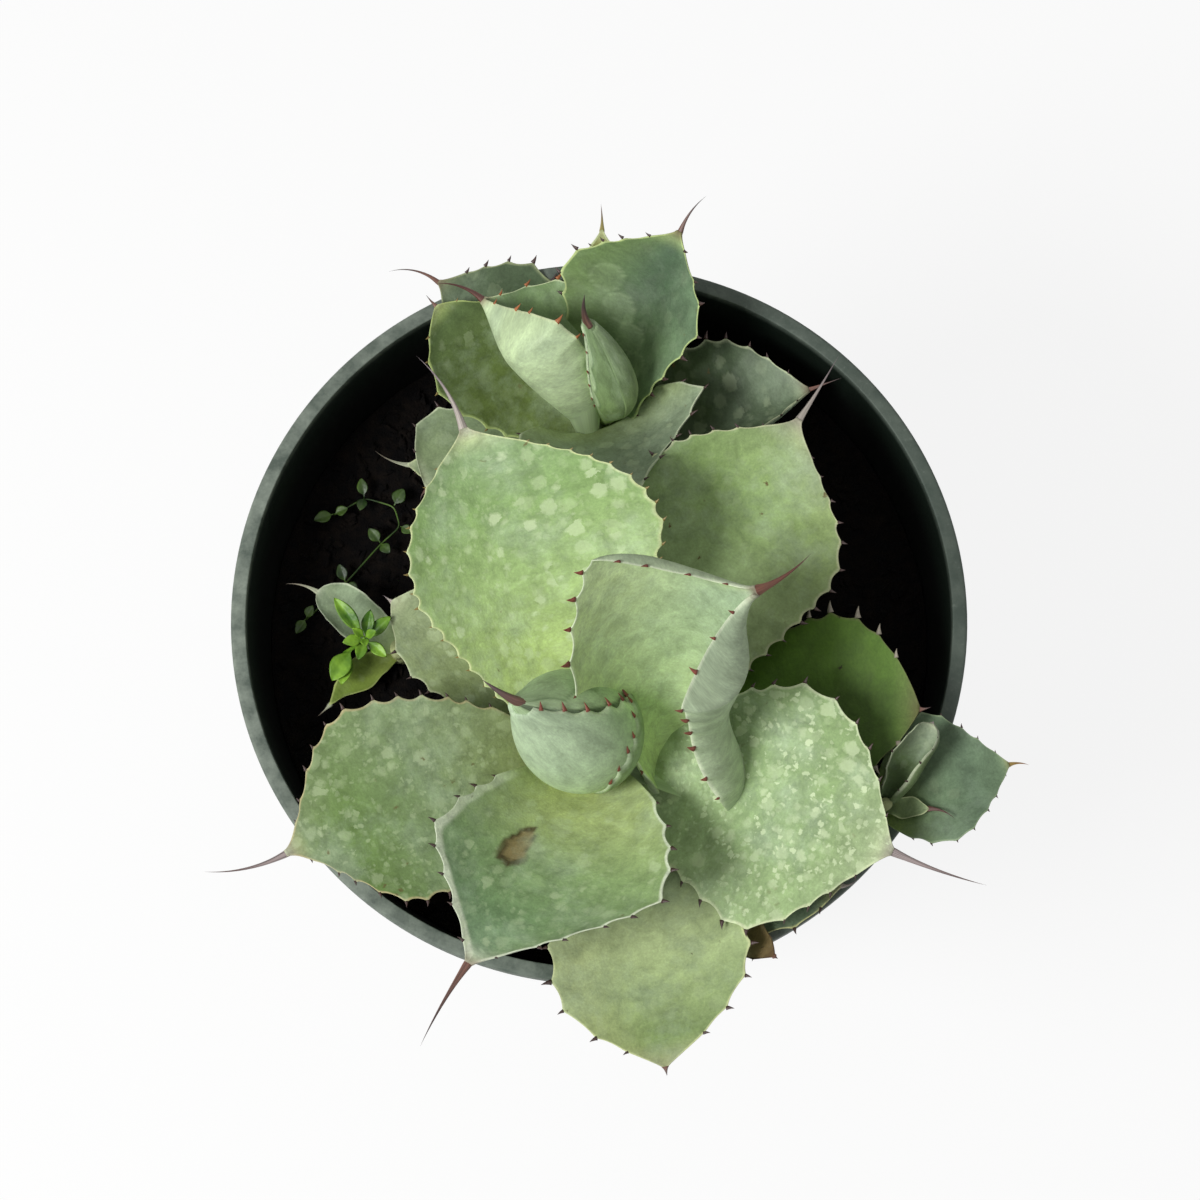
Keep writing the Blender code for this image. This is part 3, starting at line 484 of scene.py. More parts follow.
# %% The leaves of the three pups
LEAVES.update({
    "back_pup_leaf_01": dict(
        stem="back_pup_stem", height=160, base=(-3.2, 48.6, 164), heading=136.6, length=33.8,
        rise=(22, 21), bend=11.5, width=48, skew=-0.25, widest=0.59, neck=0.36, flare=1.8, full=1.8,
        taper=1.5, cup=(162, 51), roll=-20, spine=(11.6, -13, 48),
        paint=("#a9be85", "#87a26c", "#7c9668"), under="#c9dcae", rim="#d5e0b0", marks=(0.0, 0.1, 0.1),
        tooth=(5.6, 2), teeth="amber", horn="red", slot="young_leaf"),
    "back_pup_leaf_02": dict(
        stem="back_pup_stem", height=158, heading=65, length=50, rise=(40, 34), bend=2, width=37,
        skew=-0.22, widest=0.62, neck=0.35, flare=1.0, taper=1.4, cup=(25, 30), roll=16,
        spine=(10, -10, -35),
        paint=("#7c9442", "#5f7a46", "#42593c", "#4b6449"), left=("#86a05c", 0.45),
        right=("#7c9474", 0.55), rim="#bfd08a", wax=0.35, marks=(0.0, 0.05, 0.4), around=120,
        tooth=(5.2, 1.9), horn="dark", imprint=(0.66, -0.55, 0.34, 0.15, 4, 3.1, 0.45)),
    "back_pup_leaf_03": dict(
        stem="back_pup_stem", height=153, heading=141, length=45, rise=(28, 20), bend=-3, width=28,
        skew=-0.15, widest=0.62, neck=0.3, flare=1.3, taper=0.9, cup=(25, 25), spine=(3.5, 0, -12),
        paint=("#7f9150", "#66783f", "#53663f"), rim="#b9cb7e", marks=(0.0, 0.15, 0.5), tooth=(6, 1.3),
        teeth="straw", horn="dark"),
    "back_pup_leaf_04": dict(
        stem="back_pup_stem", height=148.5, heading=135, length=50, rise=(29, 23), bend=23, width=29,
        skew=0.23, widest=0.68, neck=0.3, flare=1.2, taper=1.4, spine=(12, -20, 54),
        paint=("#5f7148", "#5b6d52", "#54664a", "#64745a"), rim="#a9b388", wax=0.7,
        marks=(0.0, 0.3, 0.6), tooth=(5, 2), horn="dark"),
    "back_pup_leaf_05": dict(
        stem="back_pup_stem", height=152, base=(1.0, 43.6, 163.4), heading=291, length=28, rise=(46, 38),
        bend=-8, width=48, widest=0.34, neck=0.66, flare=1.6, full=1.0, cup=(40, 40), roll=6,
        spine=(5.5, -20, 10),
        paint=("#a3b37c", "#93a485", "#8b9c80", "#9aa98f"), under="#8c9a80", rim="#ccd6b4",
        marks=(0.0, 0.3, 0.4), tooth=(5.4, 2), horn="red"),
    "back_pup_leaf_06": dict(
        stem="back_pup_stem", height=151.5, heading=88, length=47, rise=(38, 14), width=16, neck=0.3,
        spine=(6, 20, 10),
        paint=("#7c8c4a", "#6f8048", "#8d8c4a"), tooth=(4.5, 1.2), horn="tan"),
    "back_pup_leaf_07": dict(
        stem="back_pup_stem", height=146, heading=14, length=48, rise=(30, 14), bend=6, width=30,
        skew=-0.25, widest=0.58, neck=0.5, full=2.1, cup=(20, 95), roll=1, spine=(8, 0, 0),
        paint=("#66783f", "#4d6038", "#3d4f31", "#74846a"), rim="#b4bd98", wax=0.5,
        marks=(0.0, 0.2, 1.0), tooth=(5, 1.8), horn="dark"),
    "back_pup_leaf_08": dict(
        stem="back_pup_stem", height=145, heading=193, length=36, rise=(26, 8), bend=44, width=34,
        skew=-0.06, widest=0.75, neck=0.3, flare=1.4, full=2.5, taper=0.9, cup=(50, 30), roll=-5,
        spine=(3, -10, 54),
        paint=("#7c8f5e", "#7b8d66", "#8b9c74"), rim="#cbd4b0", marks=(0.0, 0.15, 0.6), tooth=(5, 1.7),
        horn="dark"),
    "back_pup_leaf_09": dict(
        stem="back_pup_stem", height=142, heading=182, length=38, rise=(16, 10), bend=-14, width=18,
        neck=0.5, taper=1.3, spine=(8.5, 25, -30),
        paint=("#7c8f5e", "#8ba07c"), tooth=(4.6, 1.2), horn="pale"),
    "left_pup_leaf_01": dict(
        stem="left_pup_stem", height=144, heading=148, length=21, rise=(35, 20), bend=7, width=11.6,
        widest=0.58, neck=0.5, flare=2.2, taper=0.6, cup=(40, 40), spine=(7.5, -9, 38),
        paint=("#8a9d6a", "#93a585", "#8fa07f"), rim="#c5cfb2", rim_width=(0.5, 0.5),
        marks=(0.0, 0.1, 0.0), tooth=(3.4, 0.5), teeth="straw", horn="pale", scallop=0.2),
    "left_pup_leaf_02": dict(
        stem="left_pup_stem", height=143, heading=222, length=18.5, rise=(25, 10), bend=15, width=8,
        skew=0.18, widest=0.5, neck=0.5, full=1.3, cup=(30, 30), spine=(3.7, 0, -7),
        paint=("#8a9a4c", "#7f9440", "#6a8038"), rim="#aab86c", rim_width=(0.4, 0.4),
        marks=(0.0, 0.1, 0.0), tooth=(3.4, 0.4), teeth="straw", horn="pale", scallop=0.2),
    "right_pup_leaf_01": dict(
        stem="right_pup_stem", height=166.5, heading=16, length=28, rise=(30, 0), bend=4, width=30,
        skew=-0.1, widest=0.49, neck=0.45, full=1.5, taper=1.1, cup=(25, 25), roll=8,
        spine=(4.6, -8, -38),
        paint=("#7b9150", "#6a8060", "#64795f", "#6a7f62"), rim="#8fa37c", rim_width=(0.4, 0.4),
        marks=(0.0, 0.1, 0.4), tooth=(4.2, 1.1), horn="amber", scallop=0.8, slot="old_leaf"),
    "right_pup_leaf_02": dict(
        stem="right_pup_stem", height=171, heading=58, length=19, rise=(34, 16), width=12, full=2.6,
        taper=0.5, cup=(60, 165), roll=-20, spine=(0.6, 0, 0),
        paint=("#5c7148", "#5a6d46", "#9aa78e"), under="#64764f", rim="#b5bfa0", marks=(0.0, 0.2, 0.3),
        tooth=(3.4, 1.1), scallop=0.6, slot="old_leaf"),
    "right_pup_leaf_03": dict(
        stem="right_pup_stem", height=168.3, heading=352, length=9, rise=(32, 26), bend=8, width=5,
        widest=0.5, neck=0.6, taper=1.0, cup=(30, 30), spine=(6.5, 0, -48),
        paint=("#7f9460", "#93a57c"), rim_width=(0.3, 0.3), marks=(0.0, 0.0, 0.0), tooth=(3, 0.4),
        horn="red", scallop=0.1, slot="old_leaf"),
    "dead_leaf": dict(
        stem="main_stem", height=144, heading=312, length=57, rise=(13, 52), bend=10, width=13, neck=0.6,
        taper=0.8, cup=(8, 8), spine=(1.5, 0, 0),
        paint=("#6a5a34", "#827046", "#9a895c", "#7f6d48"), under="#5f4f30", rim="#4c3c24",
        rim_width=(0.4, 0.4), marks=(0.0, 0.2, 1.0), tooth=(5, 0.9), horn="dark", scallop=0.8, wave=1.2,
        slot="dead_leaf"),
})
for number, (name, leaf) in enumerate(LEAVES.items()):
    rng = np.random.default_rng(100 + number)
    LEAVES[name] = leaf = {**PLAIN, **leaf, "phase": rng.uniform(0, 6.28), "seed": number * 37.0}
    leaf["tooth_feet"] = [tooth_feet(leaf, right, rng) for right in (0, 1)]
print("all leaves:", len(LEAVES), "teeth:", sum(len(f) for l in LEAVES.values() for f in l["tooth_feet"]))

# %% [markdown]
# ## From arrays to a mesh
# Rings of points become a closed skin: each ring is joined to the next with quads, and both ends are
# closed. The attributes that the materials read are written at the same time, so that a pattern stays
# on the leaf however it curls. A tooth needs no mesh yet: one loose point with its own aim and length
# is enough, and a later step grows a tooth on each.


# %% Skins, attributes and pieces
def ring_skin(rings, colours, grids, marks, finish):
    """A closed skin over rings of points [ring, around, xyz], with its attributes."""
    count, around = rings.shape[:2]
    faces = []
    for i in range(count - 1):
        near, far = i * around, (i + 1) * around
        for j in range(around):
            k = (j + 1) % around
            faces.append((near + j, near + k, far + k, far + j))
    faces.append(tuple(range(around))[::-1])
    faces.append(tuple((count - 1) * around + j for j in range(around)))
    return dict(points=rings.reshape(-1, 3), faces=faces, paint=colours.reshape(-1, 3),
                grid=grids.reshape(-1, 3), marks=marks.reshape(-1, 3), finish=finish)


def make_piece(name, skins, finishes, teeth=(), wax=1.0):
    """One object from several skins and loose tooth points, in metres, with its faces outward."""
    points, faces, slots, layers = [], [], [], {"paint": [], "grid": [], "marks": []}
    for skin in skins:
        start = sum(len(p) for p in points)
        points.append(skin["points"])
        faces += [tuple(start + i for i in face) for face in skin["faces"]]
        slots += [skin["finish"]] * len(skin["faces"])
        for key in layers:
            layers[key].append(skin[key])
    first_tooth = sum(len(p) for p in points)
    if len(teeth):
        points.append(teeth[:, 0])
        for key in layers:
            layers[key].append(np.zeros((len(teeth), 3)))
    mesh = bpy.data.meshes.new(name)
    mesh.from_pydata((np.vstack(points) * MM).tolist(), [], faces)
    for finish in finishes:
        mesh.materials.append(finish)
    mesh.polygons.foreach_set("material_index", slots)
    mesh.polygons.foreach_set("use_smooth", [True] * len(faces))
    count = len(mesh.vertices)
    for key, values in layers.items():
        kind = "FLOAT_COLOR" if key == "paint" else "FLOAT_VECTOR"
        values = np.vstack(values)
        if key == "paint":
            values = np.hstack([values, np.full((count, 1), wax)])  # alpha carries the strength of the bloom
        layer = mesh.attributes.new(key, kind, "POINT")
        layer.data.foreach_set("color" if key == "paint" else "vector", values.astype(np.float32).ravel())
    if len(teeth):
        for key, column in (("tooth_aim", 1), ("tooth_flat", 2), ("tooth_size", 3)):
            values = np.zeros((count, 3), np.float32)
            values[first_tooth:] = teeth[:, column]
            mesh.attributes.new(key, "FLOAT_VECTOR", "POINT").data.foreach_set("vector", values.ravel())
    made = placed(name, mesh)
    shell = bmesh.new()
    shell.from_mesh(mesh)
    bmesh.ops.recalc_face_normals(shell, faces=shell.faces)
    shell.to_mesh(mesh)
    shell.free()
    return made


print("skins join rings with quads and close both ends")

# %% [markdown]
# ## Painting a leaf
# The broad colours are worked out at every point of the mesh. They run from base to tip, shift towards
# a tint on each half, turn paler underneath, and end in the thin pale band that edges an agave leaf.
# Near the tip the horn of the spine runs back along both edges. One leaf has an old corky scar, and
# one shows the imprint that the teeth of its neighbour pressed into it while both were in the bud.


# %% Paint, marks and pattern places for one blade
def mixed(base, other, share):
    """The base colours moved towards another by a share at each point."""
    return base + (rgb(other) - base) * share[..., None]


def faded(tones, place):
    """The colour at each place, from 0 to 1, along a row of evenly spaced tones."""
    rows = np.array([rgb(text) for text in tones])
    at = np.linspace(0, 1, len(rows))
    return np.stack([np.interp(place, at, rows[:, c]) for c in range(3)], -1)


def painted(leaf, t, v, face):
    """Colour, marks and grid at each point. face is +1 on top and -1 underneath."""
    colour = faded(leaf["paint"], t)
    for half, sign in (("left", -1), ("right", 1)):
        if leaf[half]:
            colour = mixed(colour, leaf[half][0], leaf[half][1] * step(0.05, 0.95, sign * v))
    reach = outline(leaf, t) * leaf["width"] / 2
    marks = np.stack([np.full(t.shape, m) for m in leaf["marks"]], -1) * step(0.02, 0.25, t)[..., None]
    grid = np.stack([v * reach + leaf["seed"], t * leaf["length"], np.where(face < 0, 40.0, 0.0)], -1)
    if "imprint" in leaf:
        t0, v0, t1, v1, count, radius, strength = leaf["imprint"]
        near = np.full(t.shape, 9e9)
        for share in np.linspace(0, 1, count):
            dt, dv = t - (t0 + (t1 - t0) * share), v - (v0 + (v1 - v0) * share)
            near = np.minimum(near, np.hypot(dt * leaf["length"], dv * reach) / radius)
        line = np.exp(-((near - 1) / 0.09) ** 2)
        colour = mixed(colour, "#a3b98a", strength * np.maximum(0.35 * step(1.05, 0.85, near), 0.8 * line))
    colour = mixed(colour, leaf["under"], 0.85 * step(0.15, -0.15, face))
    marks *= (0.4 + 0.6 * step(-0.15, 0.15, face))[..., None]
    edge = (1 - np.abs(v)) * reach
    pale = np.where(v > 0, leaf["rim_width"][1], leaf["rim_width"][0])
    colour = mixed(colour, leaf["rim"], 0.85 * step(1, 0.5, edge / pale) * step(0.05, 0.2, t))
    if "scar" in leaf:
        st, sv, long, wide, turn = leaf["scar"]
        dx, dy = (v - sv) * reach, (t - st) * leaf["length"]
        cos, sin = math.cos(math.radians(turn)), math.sin(math.radians(turn))
        across, down = (dx * cos + dy * sin) / (wide / 2), (dy * cos - dx * sin) / (long / 2)
        radius = np.hypot(across * (1 - 0.4 * down), down) + 0.06 * np.sin(7 * np.arctan2(across, down))
        radius = np.where(face > 0, radius, 9)
        colour = mixed(colour, "#46341f", 0.92 * step(1.16, 1.02, radius))
        colour = mixed(colour, "#93835a", 0.9 * step(0.86, 0.74, radius))
        marks = marks * step(0.9, 1.2, radius)[..., None]
    foot, _ = SPINE_TONES[leaf["horn"]]
    colour = mixed(colour, leaf["rim"], 0.5 * step(0.9, 0.985, t))
    colour = mixed(colour, foot, (0.7 if leaf["spine"][0] > 6 else 0.3) * step(0.95, 1.0, t))
    return colour, grid, marks


# %% [markdown]
# ## Blade, spine and tooth points
# The blade's rings are spaced about half a millimetre apart, so that the scalloped edge is real
# geometry. Points across a ring crowd towards the edges, where the shape is finest. The spine is its
# own slim skin that starts inside the blade's tip and bends on in the leaf's direction.

# %% Rings of a blade and its spine
RING_STEP = 0.6  # mm between rings
SPINE_RINGS = 26
SPINE_AROUND = 14
SPINE_ROOT = 0.16  # share of the spine that starts inside the blade


def blade_skin(leaf):
    """The blade's closed skin, with its fleshy foot in the stem."""
    rings = max(30, round(leaf["length"] / RING_STEP))
    t = np.linspace(0, 1, rings + 1)[:, None]
    angle = np.arange(leaf["around"]) * (2 * math.pi / leaf["around"])
    v, face = -np.cos(angle)[None, :], np.sin(angle)[None, :]
    t, v, face = np.broadcast_arrays(t, v, face)
    thick = thickness(leaf, t)
    lens = thick * (0.25 + 0.75 * (1 - v ** 2))
    edge = thick * 0.125
    rounding = np.sqrt(np.clip(np.abs(face) * 2.2, 0, 1))
    depth = np.where(face >= 0, edge * (1 - rounding), edge + (lens - edge) * rounding)
    if "scar" in leaf:
        st, sv, long, wide, _ = leaf["scar"]
        near = np.hypot((v - sv) * 26 / wide * 2, (t - st) * leaf["length"] / long * 2)
        depth = depth + np.where(face > 0, 0.35 * step(1.0, 0.7, near), 0)
    points = blade(leaf, t, v, depth)
    colour, grid, marks = painted(leaf, t, v, face)
    # The fleshy foot: the first ring shrinks on its way into the stem
    stem_centre, _ = stem_at(STEMS[leaf["stem"]], leaf["height"] - 2.0)
    first = points[0]
    foot = []
    for i in range(ROOT_STEPS, 0, -1):
        share = (i / ROOT_STEPS) ** 1.2
        middle = first.mean(0)
        centre = middle + (stem_centre - middle) * share
        foot.append(centre + (first - middle) * (1 - 0.6 * share))
    points = np.concatenate([np.array(foot), points])
    extra = [np.repeat(layer[:1], ROOT_STEPS, 0) for layer in (colour, grid, marks)]
    layers = [np.concatenate([e, layer]) for e, layer in zip(extra, (colour, grid, marks))]
    return ring_skin(points, *layers, 0)


def spine_skin(leaf):
    """The terminal spine: a slim, slightly flattened cone that bends as it leaves the blade."""
    tip, pitch, heading = midrib(leaf, np.array(1.0))
    tip = tip + (blade(leaf, 1.0, 0.0, thickness(leaf, 1) * 0.55, plain=True) - tip)
    length, lift, turn = leaf["spine"]
    wide = max(0.6, TIP_WIDTH * leaf["width"] / 2 * 1.2)
    tall = min(wide, thickness(leaf, 1) * 0.62)
    share = np.linspace(-SPINE_ROOT, 1.0, SPINE_RINGS)
    step_length = length / (SPINE_RINGS - 1) * (1 + SPINE_ROOT)
    along = heading_of(pitch + math.radians(lift) * np.clip(share, 0, 1),
                       heading + math.radians(turn) * np.clip(share, 0, 1))
    run = np.vstack([np.zeros(3), np.cumsum(along[:-1], 0)]) * step_length
    centres = tip - along[0] * (SPINE_ROOT * length) + run
    angle = np.arange(SPINE_AROUND) * (2 * math.pi / SPINE_AROUND)
    left_to_go = np.clip(1 - share, 0.015, 1)
    body = 0.6 * left_to_go + 0.4 * left_to_go ** 5  # flares where it leaves the blade
    roll = math.radians(leaf["roll"])
    up = heading_of(pitch + math.pi / 2, heading)
    rings = []
    for centre, direction, size in zip(centres, along, body):
        side = np.cross(direction, up)
        side /= np.linalg.norm(side)
        top = np.cross(side, direction)
        side, top = side * math.cos(roll) + top * math.sin(roll), top * math.cos(roll) - side * math.sin(roll)
        groove = 1 - 0.28 * np.clip(np.sin(angle), 0, 1) ** 4  # a shallow channel on top
        rings.append(centre + np.outer(np.cos(angle) * wide * size, side)
                     + np.outer(np.sin(angle) * groove * tall * size, top))
    rings = np.array(rings)
    low, high = (rgb(text) for text in SPINE_TONES[leaf["horn"]])
    blend = step(0.0, 0.85, share)[:, None, None]
    colour = np.broadcast_to(low + (high - low) * blend, rings.shape)
    grid = np.stack(np.broadcast_arrays(np.cos(angle)[None, :] * wide + leaf["seed"],
                                        (share * length)[:, None], np.sin(angle)[None, :] * tall), -1)
    return ring_skin(rings, colour, grid, np.zeros(rings.shape), 1)


def tooth_points(leaf, rng):
    """A point for every tooth: its foot, its aim, the flat side it shows, and its length."""
    rows = []
    for right in (0, 1):
        v = 1.0 if right else -1.0
        for t in leaf["tooth_feet"][right]:
            foot = blade(leaf, t, v, thickness(leaf, t) * 0.14)
            inner = blade(leaf, t, v * 0.9, thickness(leaf, t) * 0.14)
            ahead = blade(leaf, min(1.0, t + 0.02), v, plain=True) - blade(leaf, t - 0.02, v, plain=True)
            outward = (foot - inner) / np.linalg.norm(foot - inner)
            ahead /= np.linalg.norm(ahead)
            aim = outward + ahead * rng.uniform(-0.15, 0.4)
            size = leaf["tooth"][1] * rng.uniform(0.75, 1.2) * (1 - 0.35 * abs(2 * t - 1.1))
            rows.append((foot - outward * 0.35, aim / np.linalg.norm(aim), np.cross(outward, ahead),
                         (size * 0.62, size * 0.62, size)))
    return np.array(rows)


print("a ring of a blade has", PLAIN["around"], "points; a spine has", SPINE_RINGS, "rings")

# %% [markdown]
# ## Growing the teeth with Geometry Nodes
# A tooth is a small, flattened, slightly hooked cone. There are several hundred, all alike, so a node
# tree grows them: it takes the loose points out of the mesh, puts a cone on each, turns it by the
# stored aim, and joins the result to the blade. Changing one number in the tree changes every tooth.


# %% The tree that grows a tooth on every loose point
def tooth_tree():
    """Puts a bent, flattened cone on every point that has a tooth size."""
    tree, given = new_tree("teeth along the edge", {
        "Foot width": "Float", "Hook": "Float", "Tooth finish": "Material"})
    size, aim, side = (add(tree, "GeometryNodeInputNamedAttribute", {"Name": "tooth_" + key},
                           data_type="FLOAT_VECTOR").outputs[0] for key in ("size", "aim", "flat"))
    length = add(tree, "ShaderNodeVectorMath", {0: size}, operation="LENGTH").outputs["Value"]
    is_tooth = add(tree, "FunctionNodeCompare", {0: length, 1: 0.0}, data_type="FLOAT",
                   operation="GREATER_THAN").outputs[0]
    parts = add(tree, "GeometryNodeSeparateGeometry", {0: given["Geometry"], 1: is_tooth}, domain="POINT")
    cone = add(tree, "GeometryNodeMeshCone", {"Vertices": 7, "Side Segments": 4, "Radius Top": 0.03,
                                              "Radius Bottom": given["Foot width"], "Depth": 1.0})
    place = add(tree, "GeometryNodeInputPosition").outputs[0]
    axes = add(tree, "ShaderNodeSeparateXYZ", {0: place}).outputs
    # The point bends forward with the square of its height, and the sides are pressed flat
    bend = add(tree, "ShaderNodeMath", {0: axes[2], 1: axes[2]}, operation="MULTIPLY").outputs[0]
    bend = add(tree, "ShaderNodeMath", {0: bend, 1: given["Hook"], 2: axes[0]},
               operation="MULTIPLY_ADD").outputs[0]
    flat = add(tree, "ShaderNodeMath", {0: axes[1], 1: 0.55}, operation="MULTIPLY").outputs[0]
    bent = add(tree, "ShaderNodeCombineXYZ", {0: bend, 1: flat, 2: axes[2]}).outputs[0]
    tooth = add(tree, "GeometryNodeSetPosition", {"Geometry": cone.outputs["Mesh"],
                                                  "Position": bent}).outputs[0]
    turn = add(tree, "FunctionNodeAlignRotationToVector", {"Vector": aim}, axis="Z").outputs[0]
    turn = add(tree, "FunctionNodeAlignRotationToVector", {"Rotation": turn, "Vector": side}, axis="Y",
               pivot_axis="Z").outputs[0]
    metres = add(tree, "ShaderNodeVectorMath", {0: size, "Scale": MM}, operation="SCALE").outputs[0]
    grown = add(tree, "GeometryNodeInstanceOnPoints", {"Points": parts.outputs[0], "Instance": tooth,
                                                       "Rotation": turn, "Scale": metres}).outputs[0]
    real = add(tree, "GeometryNodeRealizeInstances", {0: grown}).outputs[0]
    real = add(tree, "GeometryNodeSetMaterial", {"Geometry": real,
                                                 "Material": given["Tooth finish"]}).outputs[0]
    real = add(tree, "GeometryNodeSetShadeSmooth", {0: real}).outputs[0]
    join = add(tree, "GeometryNodeJoinGeometry")
    tree.links.new(real, join.inputs[0])
    tree.links.new(parts.outputs[1], join.inputs[0])
    add(tree, "NodeGroupOutput", {0: join.outputs[0]})
    return tree


def grow(obj, tree, **inputs):
    """Runs a tree on an object, with these inputs, and keeps the result as its plain mesh."""
    modifier = obj.modifiers.new("grow", "NODES")
    modifier.node_group = tree
    for item in tree.interface.items_tree:
        key = item.name.replace(" ", "_").lower()
        if item.in_out == "INPUT" and key in inputs:
            modifier[item.identifier] = inputs[key]
    keep_result(obj)


TOOTH_TREE = tooth_tree()
print("tooth tree inputs:", [item.name for item in TOOTH_TREE.interface.items_tree])

# %% Make every leaf
# Papery dead skin: dull, brown and creased
DEAD_SKIN = waxy_skin("agave_dead_leaf_papery", 0.85, "#a3936a", "#2c2114")
made_leaves = {}
for name, leaf in LEAVES.items():
    rng = np.random.default_rng(500 + len(made_leaves))
    finish = DEAD_SKIN if name == "dead_leaf" else SKINS[leaf["slot"]]
    piece = make_piece(name + "_shape", [blade_skin(leaf), spine_skin(leaf)], [finish, SPINE_HORN],
                       tooth_points(leaf, rng), leaf["wax"])
    grow(piece, TOOTH_TREE, foot_width=0.5, hook=0.35, tooth_finish=TOOTH_HORN[leaf["teeth"]])
    made_leaves[name] = piece
print("leaves made:", len(made_leaves), "faces:", sum(len(p.data.polygons) for p in made_leaves.values()))

# %% [markdown]
# ## The buds
# At the centre of a rosette the youngest leaves are still rolled round each other into a fat pointed
# bud. From above, one toothed edge crosses it where the outer leaf laps over the next one. The bud is
# a smooth turned body about a leaning axis. Each lap is a thin shell just proud of it that ends in a
# scalloped edge, and its teeth come from the same tree as those of the leaves.

# %% Bud surfaces
BUD_RINGS, BUD_AROUND, LAP_ACROSS = 90, 128, 60
BUD_GIRTH, BUD_LENGTH = 12.0, 45.0  # mm of pattern for a radian round the bud, and from foot to apex
MM_PER_DEGREE = 0.2
BUD_MARKS = (0.0, 0.1, 0.1)
LAP_SCALLOP = 1.5  # mm
BUDS = {
    "main_bud": dict(
        rings=[(-3.0, -32.0, 162.0, 3.5), (-3.0, -32.0, 169.4, 6.4), (-3.2, -31.2, 174.0, 10.0),
               (-4.0, -30.0, 180.0, 12.7), (-5.4, -29.3, 186.0, 12.6), (-8.4, -28.8, 194.0, 9.8),
               (-12.4, -28.4, 201.0, 5.4), (-17.0, -28.4, 207.0, 1.3)],
        spine_end=(-24.0, -24.5, 210.5), horn="dark", seed=900.0, seam=(34, -120),
        # These tones are darker than the outer lap's to paint the shade this lap lies in on the bud's east
        # side
        collar=("#8fa46e", "#7d9264", "#6f8658"),
        inner=("#b2c98c", "#b3cb98", "#acc494", "#a5bd90"),
        outer=("#cfe2a6", "#bed4a0", "#b4c9a4", "#b4c8a6")),
    "back_pup_bud": dict(
        rings=[(1.4, 46.5, 161.0, 1.6), (2.2, 47.0, 166.0, 2.6), (3.6, 47.6, 170.0, 4.3),
               (3.4, 49.0, 176.0, 5.2), (2.0, 52.0, 183.0, 4.5), (-0.2, 56.0, 189.5, 2.4),
               (-3.0, 59.0, 194.0, 0.9)],
        spine_end=(-3.1, 62.5, 201.0), horn="dark", seed=950.0, seam=(195, 0),
        inner=("#a3ba74", "#8ba466", "#7b9264", "#7b9168"),
        outer=("#b6cc84", "#93aa6e", "#839a6c", "#8ba078")),
}


def bud_point(bud, h, theta, proud):
    """A point on the bud: h from foot (0) to apex (1), theta round it from east, proud in mm."""
    rings = np.array(bud["rings"])
    at = np.linspace(0, 1, len(rings))
    fine = np.linspace(0, 1, 80)
    smooth = np.stack([np.interp(fine, at, rings[:, c]) for c in range(4)], -1)
    for _ in range(30):
        smooth[1:-1] = (smooth[:-2] + 2 * smooth[1:-1] + smooth[2:]) / 4
    h, theta, proud = np.broadcast_arrays(h, theta, proud)
    values = [np.interp(h, fine, smooth[:, c]) for c in range(4)]
    radius = values[3] + proud
    return np.stack([values[0] + radius * np.cos(theta), values[1] + radius * np.sin(theta), values[2]], -1)


def bud_layers(bud, h, theta, key):
    """Colour, grid and marks of the bud's skin at each point."""
    grid = np.stack([theta * BUD_GIRTH + bud["seed"], h * BUD_LENGTH, np.zeros(h.shape)], -1)
    return faded(bud[key], h), grid, np.broadcast_to(np.array(BUD_MARKS), h.shape + (3,))


def seam_angle(bud, h):
    """Where the outer leaf's toothed edge lies, in degrees, at height h."""
    near_foot, slope = bud["seam"]
    return near_foot + slope * np.clip(h - 0.5, 0, 1)


def bud_core(bud):
    """The rolled inner leaf, with the pale imprint of its neighbour's teeth beside the seam."""
    h = np.linspace(0, 1, BUD_RINGS)[:, None]
    theta = (np.arange(BUD_AROUND) * (2 * math.pi / BUD_AROUND))[None, :]
    h, theta = np.broadcast_arrays(h, theta)
    colour, grid, marks = bud_layers(bud, h, theta, "inner")
    away = (np.degrees(theta) - seam_angle(bud, h) + 40) % 360 - 40
    lobes = 20 + 16 * np.abs(np.sin(h * 22)) ** 0.7
    pale = step(3, 10, away) * step(lobes + 3, lobes - 5, away) * step(0.3, 0.45, h)
    colour = mixed(colour, "#b9ceA4", 0.6 * pale)
    outline_of_lobes = np.exp(-((away - lobes - 3) / 4) ** 2) * step(0.3, 0.45, h)
    colour = mixed(colour, "#5e7650", 0.55 * outline_of_lobes)
    # Painted shadow: a dark band on the inner leaf beside the seam, where the outer leaf's edge shades it
    painted_seam_shadow = step(7, 2, away) * step(-35, -20, away) * step(0.35, 0.6, h)
    colour = mixed(colour, "#1d2a14", 0.85 * painted_seam_shadow)
    return ring_skin(bud_point(bud, h, theta, 0.0), colour, grid, marks, 0)


